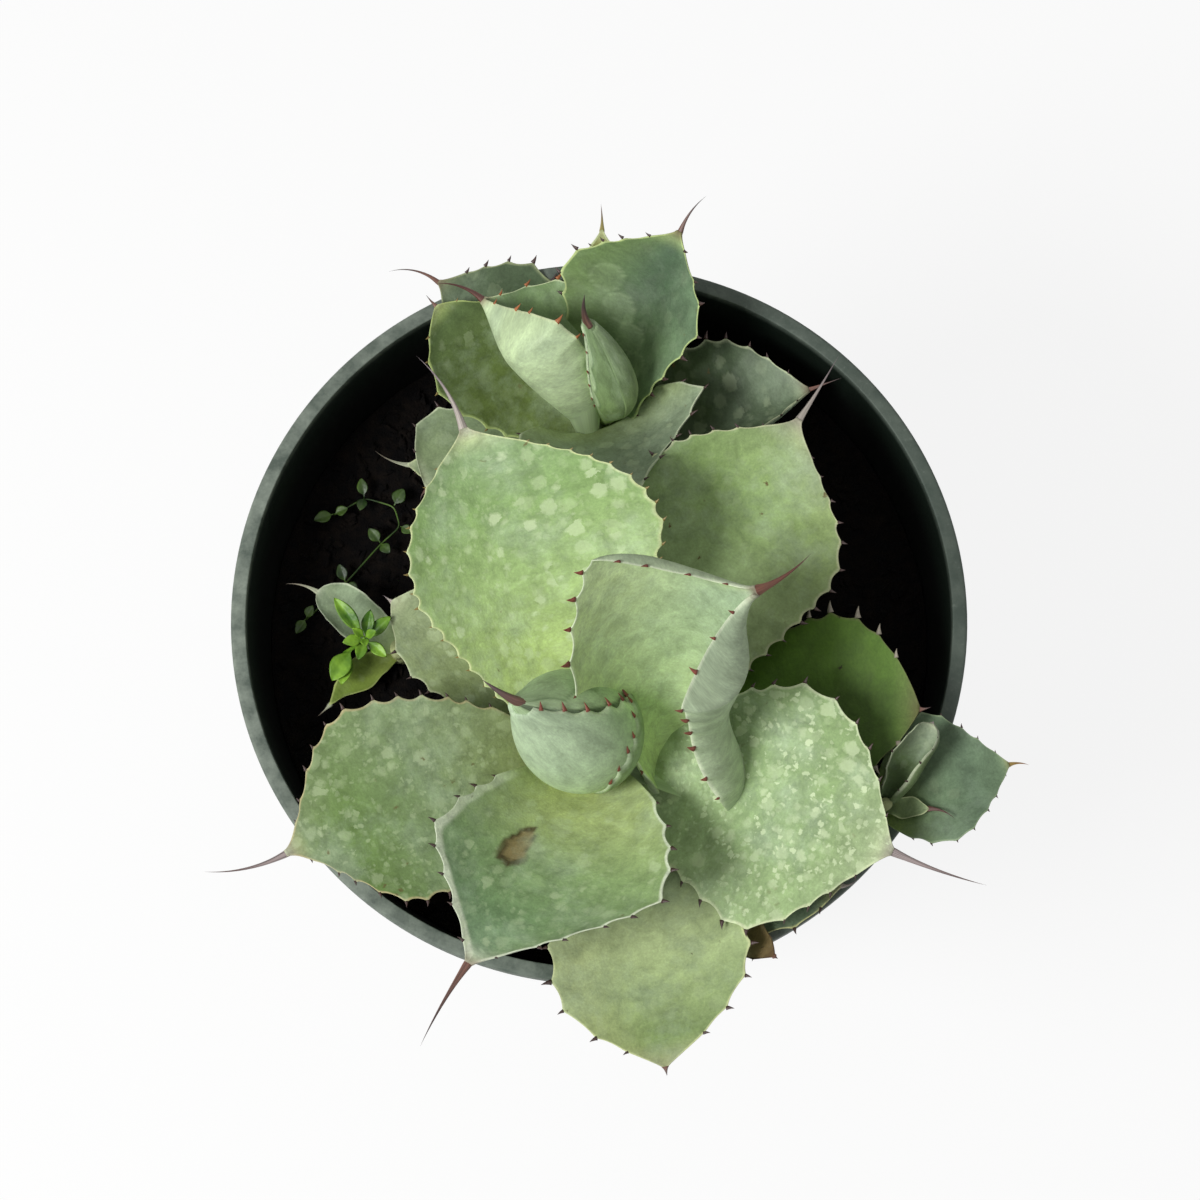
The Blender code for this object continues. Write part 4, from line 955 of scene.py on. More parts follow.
def bud_lap(bud, key, start, edge, proud, tooth_gap, tooth_size, rng):
    """A thin shell over the bud from its hidden edge to its toothed one, both given as (h, degrees)."""
    count = len(edge)
    run = np.linspace(0, 1, count)
    feet = np.arange(0.5 * tooth_gap, 1.0, tooth_gap)
    feet = np.clip(feet + rng.uniform(-0.15, 0.15, len(feet)) * tooth_gap, 0, 1)
    peak = 1 - np.abs(np.sin(np.pi * np.interp(run, feet, np.arange(len(feet))))) ** 0.8
    fade = step(0.0, 0.12, run) * step(1.0, 0.9, run)
    toward = (edge - start) / np.linalg.norm((edge - start) * (BUD_LENGTH, MM_PER_DEGREE), axis=1)[:, None]
    edge = edge + toward * ((peak - 0.4) * LAP_SCALLOP * fade)[:, None]
    across = np.linspace(0, 1, LAP_ACROSS)
    place = start[:, None] + (edge - start)[:, None] * across[None, :, None]
    h, theta = np.clip(place[..., 0], 0, 1), np.radians(place[..., 1])
    colour, grid, marks = bud_layers(bud, h, theta, key)
    colour = mixed(colour, "#dbe7c6", 0.6 * step(0.965, 0.995, np.broadcast_to(across, h.shape)))
    lift = proud * np.sqrt(np.clip((1 - across) * 14 + 0.35, 0, 1))[None, :]
    lift = lift * (0.25 + 0.75 * step(0, 0.3, across))
    rings = np.concatenate([bud_point(bud, h, theta, lift), bud_point(bud, h, theta, -0.4)[:, ::-1]], 1)
    layers = [np.concatenate([layer, layer[:, ::-1]], 1) for layer in (colour, grid, marks)]
    teeth = []
    for u in feet:
        at = np.array([np.interp(u, run, edge[:, c]) for c in (0, 1)])
        back = np.array([np.interp(u, run, start[:, c]) for c in (0, 1)])
        on = np.array([np.interp(min(1, u + 0.03), run, edge[:, c]) for c in (0, 1)])
        inner = at + (back - at) * 0.03
        foot, beside, ahead = (bud_point(bud, p[0], math.radians(p[1]), proud * 0.7)
                               for p in (at, inner, on))
        outward = (foot - beside) / np.linalg.norm(foot - beside)
        ahead = (ahead - foot) / max(1e-6, np.linalg.norm(ahead - foot))
        aim = outward + ahead * 0.4
        size = tooth_size * rng.uniform(0.85, 1.15)
        teeth.append((foot - outward * 0.3, aim / np.linalg.norm(aim), np.cross(outward, ahead),
                      (size * 0.6, size * 0.6, size)))
    return ring_skin(rings, *layers, 0), np.array(teeth)


def bud_spine(bud):
    """The bud's spine: a round cone along a curve from the apex to its stated end."""
    foot, before = np.array(bud["rings"][-1][:3]), np.array(bud["rings"][-2][:3])
    end = np.array(bud["spine_end"])
    start = foot - (foot - before) * 0.3
    share = np.linspace(0, 1, SPINE_RINGS)[:, None]
    bend = foot + (foot - before) * 0.35
    centres = start * (1 - share) ** 2 + 2 * bend * share * (1 - share) + end * share ** 2
    angle = np.arange(SPINE_AROUND) * (2 * math.pi / SPINE_AROUND)
    along = np.gradient(centres, axis=0)
    along /= np.linalg.norm(along, axis=1)[:, None]
    side = np.cross(along, (0, 0, 1.0))
    side /= np.linalg.norm(side, axis=1)[:, None]
    top = np.cross(side, along)
    size = (max(1.0, bud["rings"][-1][3] * 1.05) * np.clip(1 - share, 0.02, 1) ** 0.8)[:, :, None]
    rings = centres[:, None] + size * (side[:, None] * np.cos(angle)[None, :, None]
                                       + top[:, None] * np.sin(angle)[None, :, None])
    low, high = (rgb(text) for text in SPINE_TONES[bud["horn"]])
    colour = np.broadcast_to(low + (high - low) * step(0.1, 0.8, share)[:, :, None], rings.shape)
    grid = np.stack(np.broadcast_arrays(np.cos(angle)[None, :] + bud["seed"], share * 10,
                                        np.sin(angle)[None, :]), -1)
    return ring_skin(rings, colour, grid, np.zeros(rings.shape), 1)


def wrap(bud, start, top):
    """A lap that goes round the bud: rows at one height, from a hidden angle to the seam."""
    h = np.linspace(0.0, top, BUD_RINGS)
    return np.stack([h, np.full(BUD_RINGS, start)], -1), np.stack([h, seam_angle(bud, h)], -1)


def collar(middle, half, top):
    """A lap that hugs the foot of the bud: rows at one angle, from the foot up to a toothed rim."""
    theta = np.linspace(middle - half, middle + half, BUD_RINGS)
    rim = top * (1 - (np.abs(theta - middle) / half) ** 4 * 0.75)
    return np.stack([np.zeros(BUD_RINGS), theta], -1), np.stack([rim, theta], -1)


rng = np.random.default_rng(77)
main, pup = BUDS["main_bud"], BUDS["back_pup_bud"]
LAPS = {
    "main_bud": [("outer", *wrap(main, -215.0, 0.965), 0.9, 0.085, 2.3),
                 ("collar", *collar(-8.0, 78.0, 0.56), 1.6, 0.11, 1.7)],
    "back_pup_bud": [("outer", *wrap(pup, -60.0, 0.95), 0.5, 0.11, 1.2)],
}
made_buds = {}
for name, laps in LAPS.items():
    skins, teeth = [bud_core(BUDS[name]), bud_spine(BUDS[name])], []
    for lap in laps:
        skin, points = bud_lap(BUDS[name], *lap, rng)
        skins.append(skin)
        teeth.append(points)
    piece = make_piece(name + "_shape", skins, [SKINS["young_leaf"], SPINE_HORN], np.concatenate(teeth))
    grow(piece, TOOTH_TREE, foot_width=0.5, hook=0.3, tooth_finish=TOOTH_HORN["red"])
    made_buds[name] = piece
print("buds made:", ", ".join(made_buds))

# %% [markdown]
# ## Stems
# The stems are hardly seen, but they show from the side. An agave stem is pale and fleshy, with a
# narrow brown ring where each fallen leaf left its scar. Rings in the radius give it that ribbing.


# %% Stems with leaf scars
STEM_RINGS, STEM_AROUND = 50, 40
STEM_SUNK = 4.0  # mm that the foot goes into the mix


def stem_piece(name, stem):
    """A tapering stem whose radius dips at every leaf scar."""
    foot, top = np.array(stem["foot"]), np.array(stem["top"])
    foot = foot - (0, 0, STEM_SUNK)
    share = np.linspace(0, 1, STEM_RINGS)[:, None]
    angle = (np.arange(STEM_AROUND) * (2 * math.pi / STEM_AROUND))[None, :]
    share, angle = np.broadcast_arrays(share, angle)
    low, high = stem["radius"]
    rib = np.abs(np.sin(share * (top[2] - foot[2]) * 0.9 + 0.6 * np.sin(angle * 2)))
    radius = (low + (high - low) * share) * (0.93 + 0.07 * rib) * (1 + 0.03 * np.sin(angle * 3 + 1))
    centre = foot + (top - foot) * share[..., None]
    flat = np.stack([np.cos(angle), np.sin(angle), np.zeros(angle.shape)], -1)
    colour = np.broadcast_to(rgb("#a3ab78"), flat.shape)
    colour = mixed(colour, "#6e5a3a", 0.75 * step(0.25, 0.05, rib))
    colour = mixed(colour, "#4a4030", 0.7 * step(0.25, 0.0, share))
    grid = np.stack([angle * low, share * (top[2] - foot[2]), np.zeros(angle.shape)], -1)
    marks = np.broadcast_to(np.array([0.0, 0.2, 1.0]), flat.shape)
    skin = ring_skin(centre + flat * radius[..., None], colour, grid, marks, 0)
    return make_piece(name + "_shape", [skin], [STEM_SKIN])


STEM_SKIN = waxy_skin("agave_stem_flesh", 0.62, "#c4c89c", "#5a4a2c")
made_stems = {name: stem_piece(name, stem) for name, stem in STEMS.items()}
print("stems made:", ", ".join(made_stems))

# %% [markdown]
# ## The pot
# A nursery pot is injection moulded from polypropylene with soot and recycled plastic in it: dark
# grey-green, dull, and dusty on the lip where hands and water reach. It is a turned shape, so its
# wall is one profile swept round the axis, with small radii at every corner because a mould has them.
# The drain holes are cut with a Boolean, as a punch would leave them.

# %% The pot's profile
RIM_DIAMETER, POT_HEIGHT, BASE_DIAMETER = 165.0, 165.0, 127.0
WALL, LIP_WIDTH, LIP_HEIGHT, FLOOR = 1.6, 3.4, 6.0, 2.4
POT_SEGMENTS = 180
DRAIN_COUNT, DRAIN_CIRCLE, DRAIN_DIAMETER = 4, 42.0, 12.0


def wall_radius(height):
    """The outer radius of the wall under the lip."""
    top = RIM_DIAMETER / 2 - LIP_WIDTH + WALL
    return BASE_DIAMETER / 2 + (top - BASE_DIAMETER / 2) * height / POT_HEIGHT


def rounded(profile, radius, steps=4):
    """The profile with each inner corner rounded by about this radius."""
    points = [np.array(p, float) for p in profile]
    out = [points[0]]
    for before, corner, after in zip(points, points[1:], points[2:]):
        cut = min(radius, np.linalg.norm(corner - before) * 0.45, np.linalg.norm(after - corner) * 0.45)
        start = corner + (before - corner) / np.linalg.norm(before - corner) * cut
        end = corner + (after - corner) / np.linalg.norm(after - corner) * cut
        for share in np.linspace(0, 1, steps + 1):
            out.append(start * (1 - share) ** 2 + 2 * corner * share * (1 - share) + end * share ** 2)
    return np.array(out + [points[-1]])


def turned(name, profile, segments, finish):
    """Sweeps (radius, height) points round the axis. Both ends close at the axis."""
    angle = np.arange(segments) * (2 * math.pi / segments)
    shell = bmesh.new()
    loops = [[shell.verts.new(Vector((r * math.cos(a), r * math.sin(a), z)) * MM) for a in angle]
             for r, z in profile]
    for near, far in zip(loops, loops[1:]):
        for i in range(segments):
            j = (i + 1) % segments
            shell.faces.new((near[i], near[j], far[j], far[i]))
    shell.faces.new(loops[0])
    shell.faces.new(loops[-1])
    bmesh.ops.recalc_face_normals(shell, faces=shell.faces)
    mesh = bpy.data.meshes.new(name)
    shell.to_mesh(mesh)
    shell.free()
    mesh.materials.append(finish)
    mesh.shade_smooth()
    made = placed(name, mesh)
    return made


# %% [markdown]
# The plastic's colour is almost even. What the eye reads as a real pot is the dirt: pale dust on the lip and
# scuffs round the outside. The lip is painted lighter on its west side, where the light falls, and the inner
# wall is painted nearly black for the shade inside the pot, blackest low down, with a faint green of algae
# near the top. All of it is mixed by height and distance from the axis with Object coordinates.

# %% Moulded polypropylene
def pot_plastic():
    """Black polypropylene, injection moulded: dull satin, with dust, scuffs, painted light on the west of the
    lip and painted shade inside.
    """
    made, tree, shader = new_material("polypropylene_moulded_dusty", {"IOR": 1.49, "Specular IOR Level": 0.3})
    place = add(tree, "ShaderNodeTexCoord").outputs["Object"]
    axes = add(tree, "ShaderNodeSeparateXYZ", {0: place}).outputs
    flat = add(tree, "ShaderNodeCombineXYZ", {0: axes[0], 1: axes[1]}).outputs[0]
    radius = add(tree, "ShaderNodeVectorMath", {0: flat}, operation="LENGTH").outputs["Value"]
    # How far outside the inner face a point is, in metres: the wall leans out as it rises
    inner = add(tree, "ShaderNodeMath", {0: axes[2], 1: 0.104, 2: 0.0619},
                operation="MULTIPLY_ADD").outputs[0]
    outside = add(tree, "ShaderNodeMath", {0: radius, 1: inner}, operation="SUBTRACT").outputs[0]
    inside = add(tree, "ShaderNodeMapRange", {0: outside, 1: 0.0010, 2: 0.0002}).outputs[0]
    low = add(tree, "ShaderNodeMapRange", {0: axes[2], 1: 0.1646, 2: 0.1625}).outputs[0]
    inside = add(tree, "ShaderNodeMath", {0: inside, 1: low}, operation="MULTIPLY").outputs[0]
    dust_and_painted_light = add(tree, "ShaderNodeTexNoise", {"Vector": place, "Scale": 190.0, "Detail": 6.0,
                                            "Roughness": 0.65}).outputs["Fac"]
    dust_and_painted_light = add(tree, "ShaderNodeMapRange", {0: dust_and_painted_light, 1: 0.35, 2: 0.68, 3: 0.1, 4: 0.9}).outputs[0]
    # Dust lies on the lip, made thicker towards the west to paint the light that falls on that side
    lip = add(tree, "ShaderNodeMapRange", {0: axes[2], 1: 0.158, 2: 0.1645, 3: 0.25, 4: 1.0}).outputs[0]
    painted_light_west = add(tree, "ShaderNodeMapRange", {0: axes[0], 1: 0.06, 2: -0.08, 3: 0.25, 4: 1.0}).outputs[0]
    dust_and_painted_light = add(tree, "ShaderNodeMath", {0: dust_and_painted_light, 1: lip}, operation="MULTIPLY").outputs[0]
    dust_and_painted_light = add(tree, "ShaderNodeMath", {0: dust_and_painted_light, 1: painted_light_west}, operation="MULTIPLY").outputs[0]
    body = add(tree, "ShaderNodeMix", {0: dust_and_painted_light, 6: tone("#414c44"), 7: tone("#8d968a")},
               data_type="RGBA").outputs[2]
    # Vertical scuffs 1 mm wide on the outside
    scuff = add(tree, "ShaderNodeVectorMath", {0: place, 1: (900.0, 900.0, 60.0)},
                operation="MULTIPLY").outputs[0]
    scuff = add(tree, "ShaderNodeTexNoise", {"Vector": scuff, "Scale": 1.0, "Detail": 2.0}).outputs["Fac"]
    scuff = add(tree, "ShaderNodeMapRange", {0: scuff, 1: 0.62, 2: 0.8, 3: 0.0, 4: 0.35}).outputs[0]
    body = add(tree, "ShaderNodeMix", {0: scuff, 6: body, 7: tone("#7c857c")}, data_type="RGBA").outputs[2]
    # Painted shade: the inner wall is coloured nearly black, blackest low down, with a faint green of algae
    # near the top
    painted_shade_to_algae = add(tree, "ShaderNodeMapRange", {0: axes[2], 1: 0.150, 2: 0.163}).outputs[0]
    wall = add(tree, "ShaderNodeMix", {0: painted_shade_to_algae, 6: tone("#030403"), 7: tone("#0e1811")},
               data_type="RGBA").outputs[2]
    body = add(tree, "ShaderNodeMix", {0: inside, 6: body, 7: wall}, data_type="RGBA").outputs[2]
    tree.links.new(body, shader.inputs["Base Color"])
    rough = add(tree, "ShaderNodeMapRange", {0: dust_and_painted_light, 3: 0.5, 4: 0.85}).outputs[0]
    tree.links.new(rough, shader.inputs["Roughness"])
    # The grain of the mould's sandblasted face, 0.5 mm
    peel = add(tree, "ShaderNodeTexNoise", {"Vector": place, "Scale": 2000.0, "Detail": 2.0}).outputs["Fac"]
    bump = add(tree, "ShaderNodeBump", {"Height": peel, "Strength": 0.25, "Distance": 0.00012})
    tree.links.new(bump.outputs[0], shader.inputs["Normal"])
    return made


rim, lip_foot = RIM_DIAMETER / 2, POT_HEIGHT - LIP_HEIGHT
profile = [(0.4, 0.8), (BASE_DIAMETER / 2 - 5, 0.8), (BASE_DIAMETER / 2 - 4, 0.0), (BASE_DIAMETER / 2, 0.0),
           (wall_radius(lip_foot), lip_foot), (rim, lip_foot + 0.8), (rim, POT_HEIGHT),
           (rim - LIP_WIDTH, POT_HEIGHT), (rim - LIP_WIDTH, POT_HEIGHT - 0.8),
           (wall_radius(FLOOR) - WALL, FLOOR), (0.4, FLOOR)]
pot = turned("pot_shape", rounded(profile, 0.9), POT_SEGMENTS, pot_plastic())
punches = bmesh.new()
for i in range(DRAIN_COUNT):
    angle = math.tau * (i + 0.5) / DRAIN_COUNT
    spot = Vector((math.cos(angle), math.sin(angle), 0)) * DRAIN_CIRCLE
    where = Matrix.Translation(spot * MM)
    bmesh.ops.create_cone(punches, cap_ends=True, segments=40, radius1=DRAIN_DIAMETER / 2 * MM,
                          radius2=DRAIN_DIAMETER / 2 * MM, depth=4 * FLOOR * MM, matrix=where)
punch_mesh = bpy.data.meshes.new("drain_punches")
punches.to_mesh(punch_mesh)
punches.free()
punch = placed("drain_punches", punch_mesh)
cut = pot.modifiers.new("drains", "BOOLEAN")
cut.operation, cut.solver, cut.object = "DIFFERENCE", "EXACT", punch
keep_result(pot)
bpy.data.objects.remove(punch)
pot.data.shade_smooth()
pot.data.set_sharp_from_angle(angle=math.radians(50))
print("pot faces:", len(pot.data.polygons))

# %% [markdown]
# ## Potting mix
# The pot is filled with dark composted bark. A bumpy top surface gives the lie of the mix, and a node
# tree scatters chips over it: flattened, angular lumps of a few millimetres, each with its own size
# and turn. The seed is fixed, so the same chips come back every time.

# %% The top of the mix, and its bark chips
MIX_TOP = 140.0
MIX_RINGS, MIX_SEGMENTS = 70, 120
MIX_GAP = 0.3  # from the wall
CHIP_MARGIN = 3.0  # ring next to the wall that stays free of chips
CHIPS_PER_AREA = 90000.0  # for a square metre
SMALLEST_CHIP, LARGEST_CHIP = (0.0006, 0.0005, 0.0003), (0.0030, 0.0017, 0.0011)  # metres


def mix_bumps(x, y):
    """Height of the mix above its mean level, in mm."""
    low = np.sin(x * 0.11 + 1) * np.cos(y * 0.13) * 0.8 + np.sin(x * 0.31 + y * 0.27) * 0.35
    return low + np.sin(x * 0.83 + 2 * np.sin(y * 0.6)) * 0.25 - 0.8


def bark():
    """Composted bark and peat: matt, with paler dry bits, coloured nearly black as painted shade inside the
    pot.
    """
    made, tree, shader = new_material("composted_bark_damp", {"Roughness": 0.95, "Specular IOR Level": 0.12})
    place = add(tree, "ShaderNodeTexCoord").outputs["Object"]
    # Bits of 2 mm and crumbs of 0.5 mm
    bits = add(tree, "ShaderNodeTexNoise", {"Vector": place, "Scale": 420.0, "Detail": 5.0}).outputs["Fac"]
    bits = add(tree, "ShaderNodeMapRange", {0: bits, 1: 0.42, 2: 0.72}).outputs[0]
    # The bark's dark brown is pushed nearly to black: painted shade for the mix deep in the pot
    body = add(tree, "ShaderNodeMix", {0: bits, 6: tone("#050404"), 7: tone("#15100c")},
               data_type="RGBA").outputs[2]
    tree.links.new(body, shader.inputs["Base Color"])
    crumbs = add(tree, "ShaderNodeTexNoise", {"Vector": place, "Scale": 1800.0, "Detail": 3.0}).outputs["Fac"]
    bump = add(tree, "ShaderNodeBump", {"Height": crumbs, "Strength": 0.8, "Distance": 0.0006})
    tree.links.new(bump.outputs[0], shader.inputs["Normal"])
    return made


def chip_tree():
    """Scatters lumps of bark where chip_share is 1."""
    tree, given = new_tree("bark chips on the mix", {
        "Chips per area": "Float", "Smallest": "Vector",
        "Largest": "Vector", "Chip finish": "Material"})
    share = add(tree, "GeometryNodeInputNamedAttribute", {"Name": "chip_share"}, data_type="FLOAT").outputs[0]
    density = add(tree, "ShaderNodeMath", {0: share, 1: given["Chips per area"]},
                  operation="MULTIPLY").outputs[0]
    spread = add(tree, "GeometryNodeDistributePointsOnFaces", {
        "Mesh": given["Geometry"], "Density": density, "Seed": 11})
    chip = add(tree, "GeometryNodeMeshIcoSphere", {"Radius": 1.0, "Subdivisions": 2}).outputs[0]
    jag = add(tree, "ShaderNodeTexWhiteNoise", {"Vector": add(tree, "GeometryNodeInputPosition").outputs[0]},
              noise_dimensions="3D").outputs["Color"]
    jag = add(tree, "ShaderNodeVectorMath", {0: jag, 1: (-0.5, -0.5, -0.5)}, operation="ADD").outputs[0]
    jag = add(tree, "ShaderNodeVectorMath", {0: jag, "Scale": 0.55}, operation="SCALE").outputs[0]
    chip = add(tree, "GeometryNodeSetPosition", {"Geometry": chip, "Offset": jag}).outputs[0]
    turn = add(tree, "FunctionNodeRandomValue", {0: (-0.6, -0.6, 0.0), 1: (0.6, 0.6, 6.28), "Seed": 3},
               data_type="FLOAT_VECTOR").outputs[0]
    size = add(tree, "FunctionNodeRandomValue", {0: given["Smallest"], 1: given["Largest"], "Seed": 5},
               data_type="FLOAT_VECTOR").outputs[0]
    chips = add(tree, "GeometryNodeInstanceOnPoints", {
        "Points": spread.outputs["Points"], "Instance": chip, "Rotation": turn, "Scale": size}).outputs[0]
    real = add(tree, "GeometryNodeRealizeInstances", {0: chips}).outputs[0]
    real = add(tree, "GeometryNodeSetMaterial", {"Geometry": real,
                                                 "Material": given["Chip finish"]}).outputs[0]
    join = add(tree, "GeometryNodeJoinGeometry")
    tree.links.new(real, join.inputs[0])
    tree.links.new(given["Geometry"], join.inputs[0])
    add(tree, "NodeGroupOutput", {0: join.outputs[0]})
    return tree


BARK = bark()
mix_edge = wall_radius(MIX_TOP) - WALL - MIX_GAP
mix_profile = [(wall_radius(FLOOR) - WALL - MIX_GAP, FLOOR + MIX_GAP), (mix_edge, MIX_TOP)]
mix_profile += [(radius, MIX_TOP) for radius in np.linspace(mix_edge, 0.5, MIX_RINGS)[1:]]
mix = turned("potting_mix_shape", mix_profile, MIX_SEGMENTS, BARK)
chip_share = mix.data.attributes.new("chip_share", "FLOAT", "POINT")
for vertex, share in zip(mix.data.vertices, chip_share.data):
    x, y, z = vertex.co / MM
    if z > MIX_TOP - 1:
        vertex.co.z += mix_bumps(x, y) * MM
        share.value = float(math.hypot(x, y) < mix_edge - CHIP_MARGIN)
grow(mix, chip_tree(), chips_per_area=CHIPS_PER_AREA, smallest=SMALLEST_CHIP, largest=LARGEST_CHIP,
     chip_finish=BARK)
print("mix and chips, faces:", len(mix.data.polygons))

# %% [markdown]
# ## Weeds
# Two weeds have seeded themselves in the mix: an upright seedling with thin bright leaves and a
# creeping one with small ovals. Their leaves repeat one outline, so a node tree sets a copy of it on
# every point of a list, turned and sized by that point's own attributes.

# %% Weed stems and the shape of one weed leaf
WEED_AROUND = 10
# A leaf is its foot, then its heading, pitch, length and width
WEEDS = {
    "seedling": dict(
        run=[(-60.0, -6.0, 139.0), (-58.4, -5.6, 148.0), (-54.0, -4.4, 154.0), (-53.0, -4.0, 157.5)],
        radius=(0.6, 0.35), shape=1.0,
        leaves=[(-53.0, -4.0, 156.6, 128, 8, 11.5, 3.8), (-53.0, -4.0, 154.8, 80, 14, 7.0, 3.2),
                (-53.0, -4.0, 154.2, 42, 12, 8.0, 3.4), (-53.0, -4.0, 156.2, 195, 20, 5.5, 3.0),
                (-53.0, -4.0, 155.6, 255, 15, 5.5, 3.0), (-53.0, -4.0, 155.0, 320, 6, 6.5, 3.0),
                (-56.2, -5.0, 151.0, 240, 2, 9.0, 5.4), (-53.0, -4.0, 157.4, 20, 40, 4.0, 2.4),
                (-53.0, -4.0, 157.4, 150, 45, 4.4, 2.2), (-53.0, -4.0, 157.2, 280, 42, 3.6, 2.2),
                (-57.4, -5.4, 149.5, 262, 10, 8.5, 4.4)]),
    "creeping_weed": dict(
        run=[(-68.0, 4.0, 140.6), (-59.0, 12.5, 141.2), (-51.0, 22.0, 141.0), (-46.5, 26.0, 141.4),
             (-48.0, 31.0, 141.2), (-55.0, 33.0, 141.4), (-62.0, 29.0, 141.0)],
        radius=(0.22, 0.18), shape=0.8,
        leaves=[(-68.0, 4.0, 141.6, 240, 6, 4.4, 2.8), (-68.0, 4.0, 141.8, 60, 14, 3.4, 2.6),
                (-59.0, 12.5, 141.8, 110, 6, 4.6, 2.8), (-59.0, 12.5, 141.8, 320, 6, 4.0, 3.0),
                (-51.0, 22.0, 141.8, 130, 6, 4.4, 3.0), (-51.0, 22.0, 141.8, 310, 12, 3.6, 2.8),
                (-46.5, 26.0, 142.0, 330, 6, 3.4, 2.6), (-48.0, 31.0, 141.8, 60, 6, 4.6, 3.6),
                (-55.0, 33.0, 141.8, 100, 6, 4.6, 2.8), (-55.0, 33.0, 141.8, 255, 12, 3.6, 2.8),
                (-62.0, 29.0, 141.8, 200, 6, 5.0, 3.2), (-62.0, 29.0, 141.8, 20, 10, 3.6, 2.6)]),
}


def weed_leaf_mesh(full):
    """One weed leaf, 1 long and 1 wide: a short stalk, an oval blade, a fold along its middle."""
    along, across = np.linspace(0, 1, 15), np.linspace(-1, 1, 9)
    blade_part = np.clip((along - 0.18) / 0.82, 0, 1)
    half = 0.05 * (1 - along) + 0.45 * np.sin(np.pi * blade_part ** full) ** 0.8
    rows, faces = [], []
    for face_sign in (1, -1):
        for a, h in zip(along, half):
            for c in across:
                plump = 0.012 * (1 - c * c) * math.sin(math.pi * a)
                lift = 0.10 * abs(c) * h * 2 - 0.16 * a ** 2 + face_sign * plump
                rows.append((a, c * h, lift))
    wide, layer = len(across), len(along) * len(across)
    for i in range(len(along) - 1):
        for j in range(wide - 1):
            a, b, c, d = i * wide + j, i * wide + j + 1, (i + 1) * wide + j + 1, (i + 1) * wide + j
            faces += [(a, d, c, b), (layer + a, layer + b, layer + c, layer + d)]
    mesh = bpy.data.meshes.new("weed_leaf")
    mesh.from_pydata(rows, [], faces)
    shell = bmesh.new()
    shell.from_mesh(mesh)
    bmesh.ops.remove_doubles(shell, verts=shell.verts, dist=1e-5)
    bmesh.ops.recalc_face_normals(shell, faces=shell.faces)
    shell.to_mesh(mesh)
    shell.free()
    return mesh


def weed_tree():
    """Sets a leaf on every point that has a leaf size."""
    tree, given = new_tree("weed leaves on their stems", {"Leaf": "Object", "Weed finish": "Material"})
    size, turn = (add(tree, "GeometryNodeInputNamedAttribute", {"Name": "leaf_" + key},
                      data_type="FLOAT_VECTOR").outputs[0] for key in ("size", "turn"))
    length = add(tree, "ShaderNodeVectorMath", {0: size}, operation="LENGTH").outputs["Value"]
    is_leaf = add(tree, "FunctionNodeCompare", {0: length, 1: 0.0}, data_type="FLOAT",
                  operation="GREATER_THAN").outputs[0]
    parts = add(tree, "GeometryNodeSeparateGeometry", {0: given["Geometry"], 1: is_leaf}, domain="POINT")
    shape = add(tree, "GeometryNodeObjectInfo", {"Object": given["Leaf"]}).outputs["Geometry"]
    leaves = add(tree, "GeometryNodeInstanceOnPoints", {
        "Points": parts.outputs[0], "Instance": shape, "Rotation": turn, "Scale": size}).outputs[0]
    join = add(tree, "GeometryNodeJoinGeometry")
    tree.links.new(add(tree, "GeometryNodeRealizeInstances", {0: leaves}).outputs[0], join.inputs[0])
    tree.links.new(parts.outputs[1], join.inputs[0])
    real = add(tree, "GeometryNodeSetMaterial", {"Geometry": join.outputs[0],
                                                 "Material": given["Weed finish"]}).outputs[0]
    real = add(tree, "GeometryNodeSetShadeSmooth", {0: real}).outputs[0]
    add(tree, "NodeGroupOutput", {0: real})
    return tree


print("weeds to make:", ", ".join(WEEDS))

# %% [markdown]
# Fresh weed leaves are thin and bright. Their colour shifts a little from leaf to leaf, and a fine
# network of veins shows as relief. The creeping one is coloured darker.


# %% Weed skin, and both weeds
def weed_skin(name, dark, bright):
    """Thin fresh leaf: soft satin skin, colour that shifts over a few millimetres."""
    made, tree, shader = new_material(name, {"Roughness": 0.42, "IOR": 1.42})
    place = add(tree, "ShaderNodeTexCoord").outputs["Object"]
    # Patches 5 mm across, and veins 0.8 mm apart
    patch = add(tree, "ShaderNodeTexNoise", {"Vector": place, "Scale": 200.0, "Detail": 3.0}).outputs["Fac"]
    patch = add(tree, "ShaderNodeMapRange", {0: patch, 1: 0.35, 2: 0.65}).outputs[0]
    body = add(tree, "ShaderNodeMix", {0: patch, 6: tone(dark), 7: tone(bright)}, data_type="RGBA").outputs[2]
    tree.links.new(body, shader.inputs["Base Color"])
    veins = add(tree, "ShaderNodeTexVoronoi", {"Vector": place, "Scale": 1250.0}).outputs["Distance"]
    bump = add(tree, "ShaderNodeBump", {"Height": veins, "Strength": 0.3, "Distance": 0.0002})
    tree.links.new(bump.outputs[0], shader.inputs["Normal"])
    return made


